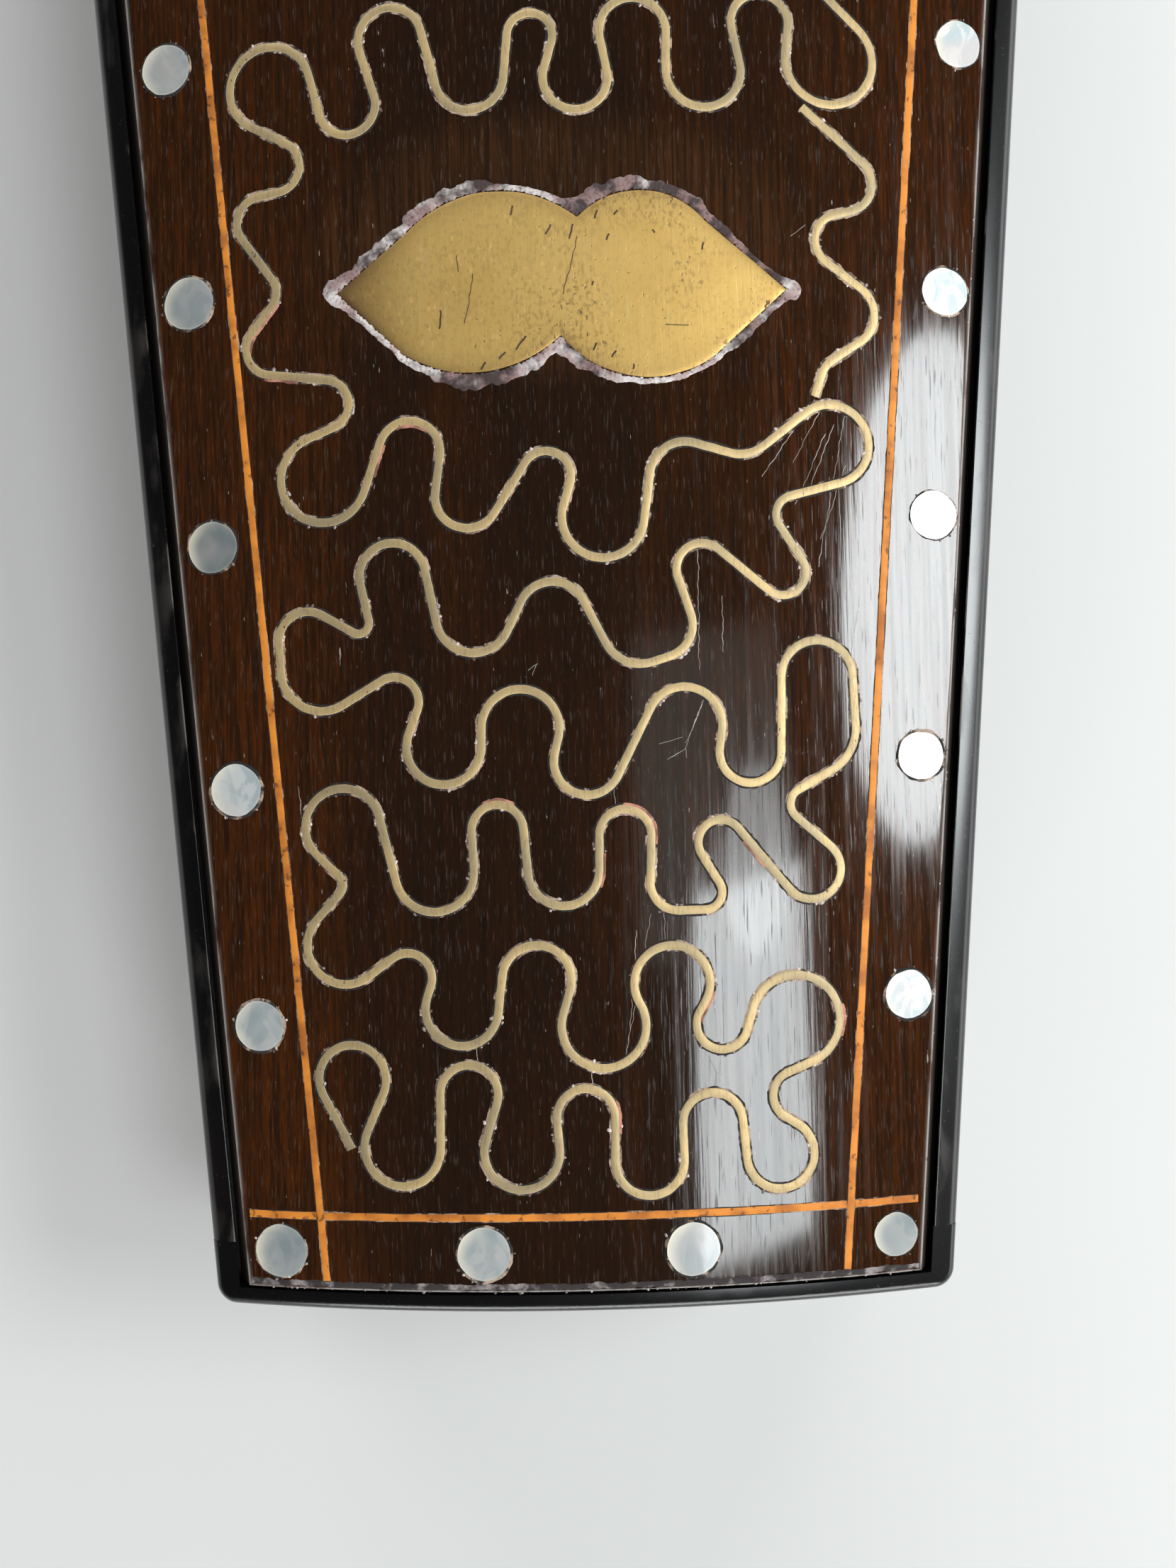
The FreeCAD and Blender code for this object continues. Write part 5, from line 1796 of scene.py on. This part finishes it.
@dataclass
class Case:
    """The walls, the base and what holds them together."""

    stations: int = 64
    round_steps: int = 5
    # Wear at the foot, the outer top and the inner top edge of a side wall; the inner top edge's much larger
    # value is partly a painted highlight.
    wear: tuple[float, ...] = (1.0, 1.0, 3.2)
    wear_fall: float = 0.8
    foot_round: float = 0.25
    inner_round: float = 0.22
    ledge_round: float = 0.15
    bare_from: int = 4
    bare_facing: float = 0.7
    weld_digits: int = 4

    def build(self, frame: dict[str, Any]) -> None:
        """Make and dress all pieces of the case.
        """
        self.lacquer = BlackLacquer().make()
        self.raw = RawWood().make()
        for node, side in (("left_wall", -1), ("right_wall", 1)):
            self.side_wall(node, side)
        self.copy(frame, "narrow_end_wall", "narrow_end", Body.CASE, Slot.LACQUER, self.lacquer, 1.0)
        self.copy(frame, "wide_end_wall", "wide_end", Body.CASE, Slot.LACQUER, self.lacquer, -1.0)
        self.copy(frame, "base_board", "base_panel", Body.CASE, Slot.RAW, self.raw)
        self.copy(frame, "lid_end_batten", "end_batten", Body.LID, Slot.LACQUER, self.lacquer)
        pins = BrassStrip("pin_brass").make()
        for node, material in (("corner_dowels", self.raw), ("base_pins", pins)):
            mesh = frame["nodes"][node].data
            mesh.materials.clear()
            mesh.materials.append(material)

    def corner(self, before: Point, at: Point, after: Point, radius: float) -> list[tuple[Point, float]]:
        """Points of a rounded corner.

        Args:
            before: Corner before it.
            at: The corner.
            after: Corner after it.
            radius: How far the rounding reaches, or 0.

        Returns:
            The points, each with how much it is worn.
        """
        if radius == 0:
            return [(at, 0.0)]
        start = at + (before - at) / np.linalg.norm(before - at) * radius
        end = at + (after - at) / np.linalg.norm(after - at) * radius
        made = []
        for t in np.linspace(0, 1, self.round_steps):
            place = start * (1 - t) ** 2 + at * 2 * t * (1 - t) + end * t ** 2
            made.append((place, 1 - abs(2 * t - 1) * self.wear_fall))
        return made

    def side_wall(self, node: str, side: int) -> None:
        """Side wall with its rail, lacquered outside and bare inside.

        Args:
            node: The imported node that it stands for.
            side: -1 on the left and 1 on the right.
        """
        inside, rebate = PLAN.wall, PLAN.wall - PLAN.base_rebate
        verts, edge = [], []
        bare: list[bool] = []
        rows = np.linspace(PLAN.narrow_end + PLAN.end_wall, PLAN.wide_end, self.stations)
        for y in rows:
            half = PLAN.half_width(y)
            outer_top = crown_at(half, y)
            inner_top = crown_at(half - PLAN.rim_land, y)
            corners = [
                (0, 0, self.foot_round), (0, outer_top, PLAN.rim_round),
                (PLAN.rim_land, inner_top, self.inner_round),
                (PLAN.rim_land - PLAN.rail_undercut, PLAN.ledge, 0), (inside, PLAN.ledge, self.ledge_round),
                (inside, PLAN.base_thickness, 0), (rebate, PLAN.base_thickness, 0), (rebate, 0, 0),
            ]
            places = [np.array(corner[:2], float) for corner in corners]
            bare = []
            for i, (_, _, radius) in enumerate(corners):
                after = places[(i + 1) % len(places)]
                for place, worn in self.corner(places[i - 1], places[i], after, radius):
                    verts.append((side * (half - place[0]), y, place[1]))
                    # The inner top edge is lightened much more, as a painted highlight as well as wear.
                    edge.append(worn * self.wear[i] if i < len(self.wear) else 0.0)
                    bare.append(i >= self.bare_from)
        ring = len(bare)
        faces = sweep_faces(len(rows), ring)
        piece = new_object(node.replace("wall", "side"), verts, [], faces, self.lacquer)
        piece.data.materials.append(self.raw)
        for face in piece.data.polygons:
            if all(bare[v % ring] for v in face.vertices):
                face.material_index = 1
        keep_number(piece, "edge", edge)
        turn_outwards(piece)
        smooth(piece, degrees=40)
        settle(piece, Body.CASE, (node,))

    def copy(
        self, frame: dict[str, Any], node: str, name: str, body: Body, slot: Slot,
        material: bpy.types.Material, inside: float = 0.0,
    ) -> None:
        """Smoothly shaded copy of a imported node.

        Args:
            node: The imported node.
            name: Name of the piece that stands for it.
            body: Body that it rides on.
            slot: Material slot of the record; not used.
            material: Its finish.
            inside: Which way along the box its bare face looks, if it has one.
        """
        mesh = frame["nodes"][node].data
        mesh.calc_loop_triangles()
        points = np.array([v.co for v in mesh.vertices]) / MM
        kept, number = np.unique(np.round(points, self.weld_digits), axis=0, return_inverse=True)
        corners = number.ravel()[np.array([t.vertices for t in mesh.loop_triangles])]
        sound = [list(map(int, c)) for c in corners if len(set(c.tolist())) == 3]
        piece = new_object(name, kept, [], sound, material)
        if inside:
            piece.data.materials.append(self.raw)
        for face in piece.data.polygons:
            if face.normal.y * inside > self.bare_facing and face.center.z < PLAN.ledge * MM:
                face.material_index = 1
        smooth(piece, degrees=30)
        settle(piece, body, (node,))


# Light and camera


@dataclass(frozen=True)
class Lamp:
    """A soft panel of light, placed by the angles from which the lid sees it."""

    name: str
    across: float
    along: float
    distance: float
    width: float
    height: float
    power: float
    colour: Colour = (1.0, 1.0, 1.0)
    shape: str = "RECTANGLE"

    def make(self, aim: Vector) -> None:
        """Hang the panel and turn it to what it lights.

        Args:
            aim: The place that it lights.
        """
        light = bpy.data.lights.new(self.name, "AREA")
        light.shape = self.shape
        light.size, light.size_y = self.width, self.height
        light.energy = self.power
        light.color = self.colour
        made = bpy.data.objects.new(self.name, light)
        tilt = [math.tan(math.radians(angle)) for angle in (self.across, self.along)]
        away = Vector((*tilt, 1.0)).normalized()
        made.location = aim + away * self.distance
        level = Vector((1.0, 0.0, 0.0))
        level = (level - away * level.dot(away)).normalized()
        made.rotation_euler = Matrix((level, away.cross(level), away)).transposed().to_euler()
        made.visible_camera = False
        bpy.context.scene.collection.objects.link(made)


@dataclass
class Studio:
    """Floor, light and camera."""

    floor_half: float = 2200.0
    aim: Colour = (0.0, -0.03, 0.04)
    daylight: Colour = (0.93, 0.985, 1.0)
    warm: Colour = (1.0, 0.97, 0.9)
    sky: Colour = (0.93, 0.95, 1.0)
    glow: tuple[float, float] = (0.02, 0.55)
    glow_to: float = 0.5
    lens: float = 36.13
    sensor: float = 36.0
    nearest: float = 0.005
    focus: Colour = (0.0, -0.048, 0.040)
    turn: Colour = (-1.18, -0.17, 1.33)
    shift: Colour = (-0.00130, -0.00159, -0.14599)

    def build(self) -> None:
        """Make the floor, the lamps, the sky and the camera."""
        reach = self.floor_half
        corners = [(-reach, -reach, 0.0), (reach, -reach, 0.0), (reach, reach, 0.0), (-reach, reach, 0.0)]
        floor = new_object("floor", corners, [], [[0, 1, 2, 3]], FloorPaint().make())
        aim = Vector(self.aim)
        for lamp in (
            Lamp("window_side", 43.5, 7.5, 0.55, 0.2, 0.215, 1.83, self.daylight, "ELLIPSE"),
            Lamp("window_end", 22.0, -15.5, 0.6, 0.15, 0.17, 1.0, self.daylight),
            Lamp("window_end_top", 22.3, -6.0, 0.6, 0.085, 0.09, 0.1, self.daylight, "ELLIPSE"),
            Lamp("sky_top", 15.5, -2.0, 1.0, 0.31, 0.24, 0.15, self.warm),
            Lamp("sky_front", 12.0, -68.0, 2.5, 3.0, 1.25, 72.0),
            Lamp("sky_back", -10.0, 68.0, 2.5, 3.0, 1.25, 50.0),
            Lamp("sky_right", 74.0, 0.0, 1.0, 0.4, 1.2, 3.9),
            Lamp("sky_left", -82.0, 25.0, 1.0, 0.3, 1.0, 0.5),
        ):
            lamp.make(aim)
        self.room()
        bpy.context.scene.view_settings.view_transform = "Standard"
        self.camera()

    def room(self) -> None:
        """Sky that glows near the horizon."""
        world = bpy.data.worlds.new("room")
        world.use_nodes = True
        world.node_tree.nodes.clear()
        room = Nodes(world.node_tree)
        way = room.add("ShaderNodeTexCoord", {}, {}, "Generated")
        height = room.add("ShaderNodeSeparateXYZ", {}, {0: way}, "Z")
        glow = self.glow[0] + (1.0 - height.band(0.0, self.glow_to)) * self.glow[1]
        sky = room.add("ShaderNodeBackground", {}, {"Color": (*self.sky, 1.0), "Strength": glow})
        room.add("ShaderNodeOutputWorld", {}, {"Surface": sky})
        bpy.context.scene.world = world

    def camera(self) -> None:
        """Camera above the narrow end, looking almost straight down."""
        data = bpy.data.cameras.new("camera")
        data.lens = self.lens
        data.sensor_width = self.sensor
        data.clip_start = self.nearest
        made = bpy.data.objects.new("camera", data)
        vector = Vector(self.turn)
        rotation = Matrix.Rotation(math.radians(vector.length), 3, vector.normalized()).transposed()
        place = Vector(self.focus) - rotation @ Vector(self.shift)
        made.matrix_world = Matrix.Translation(place) @ rotation.to_4x4()
        bpy.context.scene.collection.objects.link(made)
        bpy.context.scene.camera = made


def main() -> None:
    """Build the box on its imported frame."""
    logging.basicConfig(level=logging.INFO, format="%(name)s %(message)s")
    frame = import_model()
    Studio().build()
    Case().build(frame)
    Lid().build()


if __name__ == "__main__":
    main()
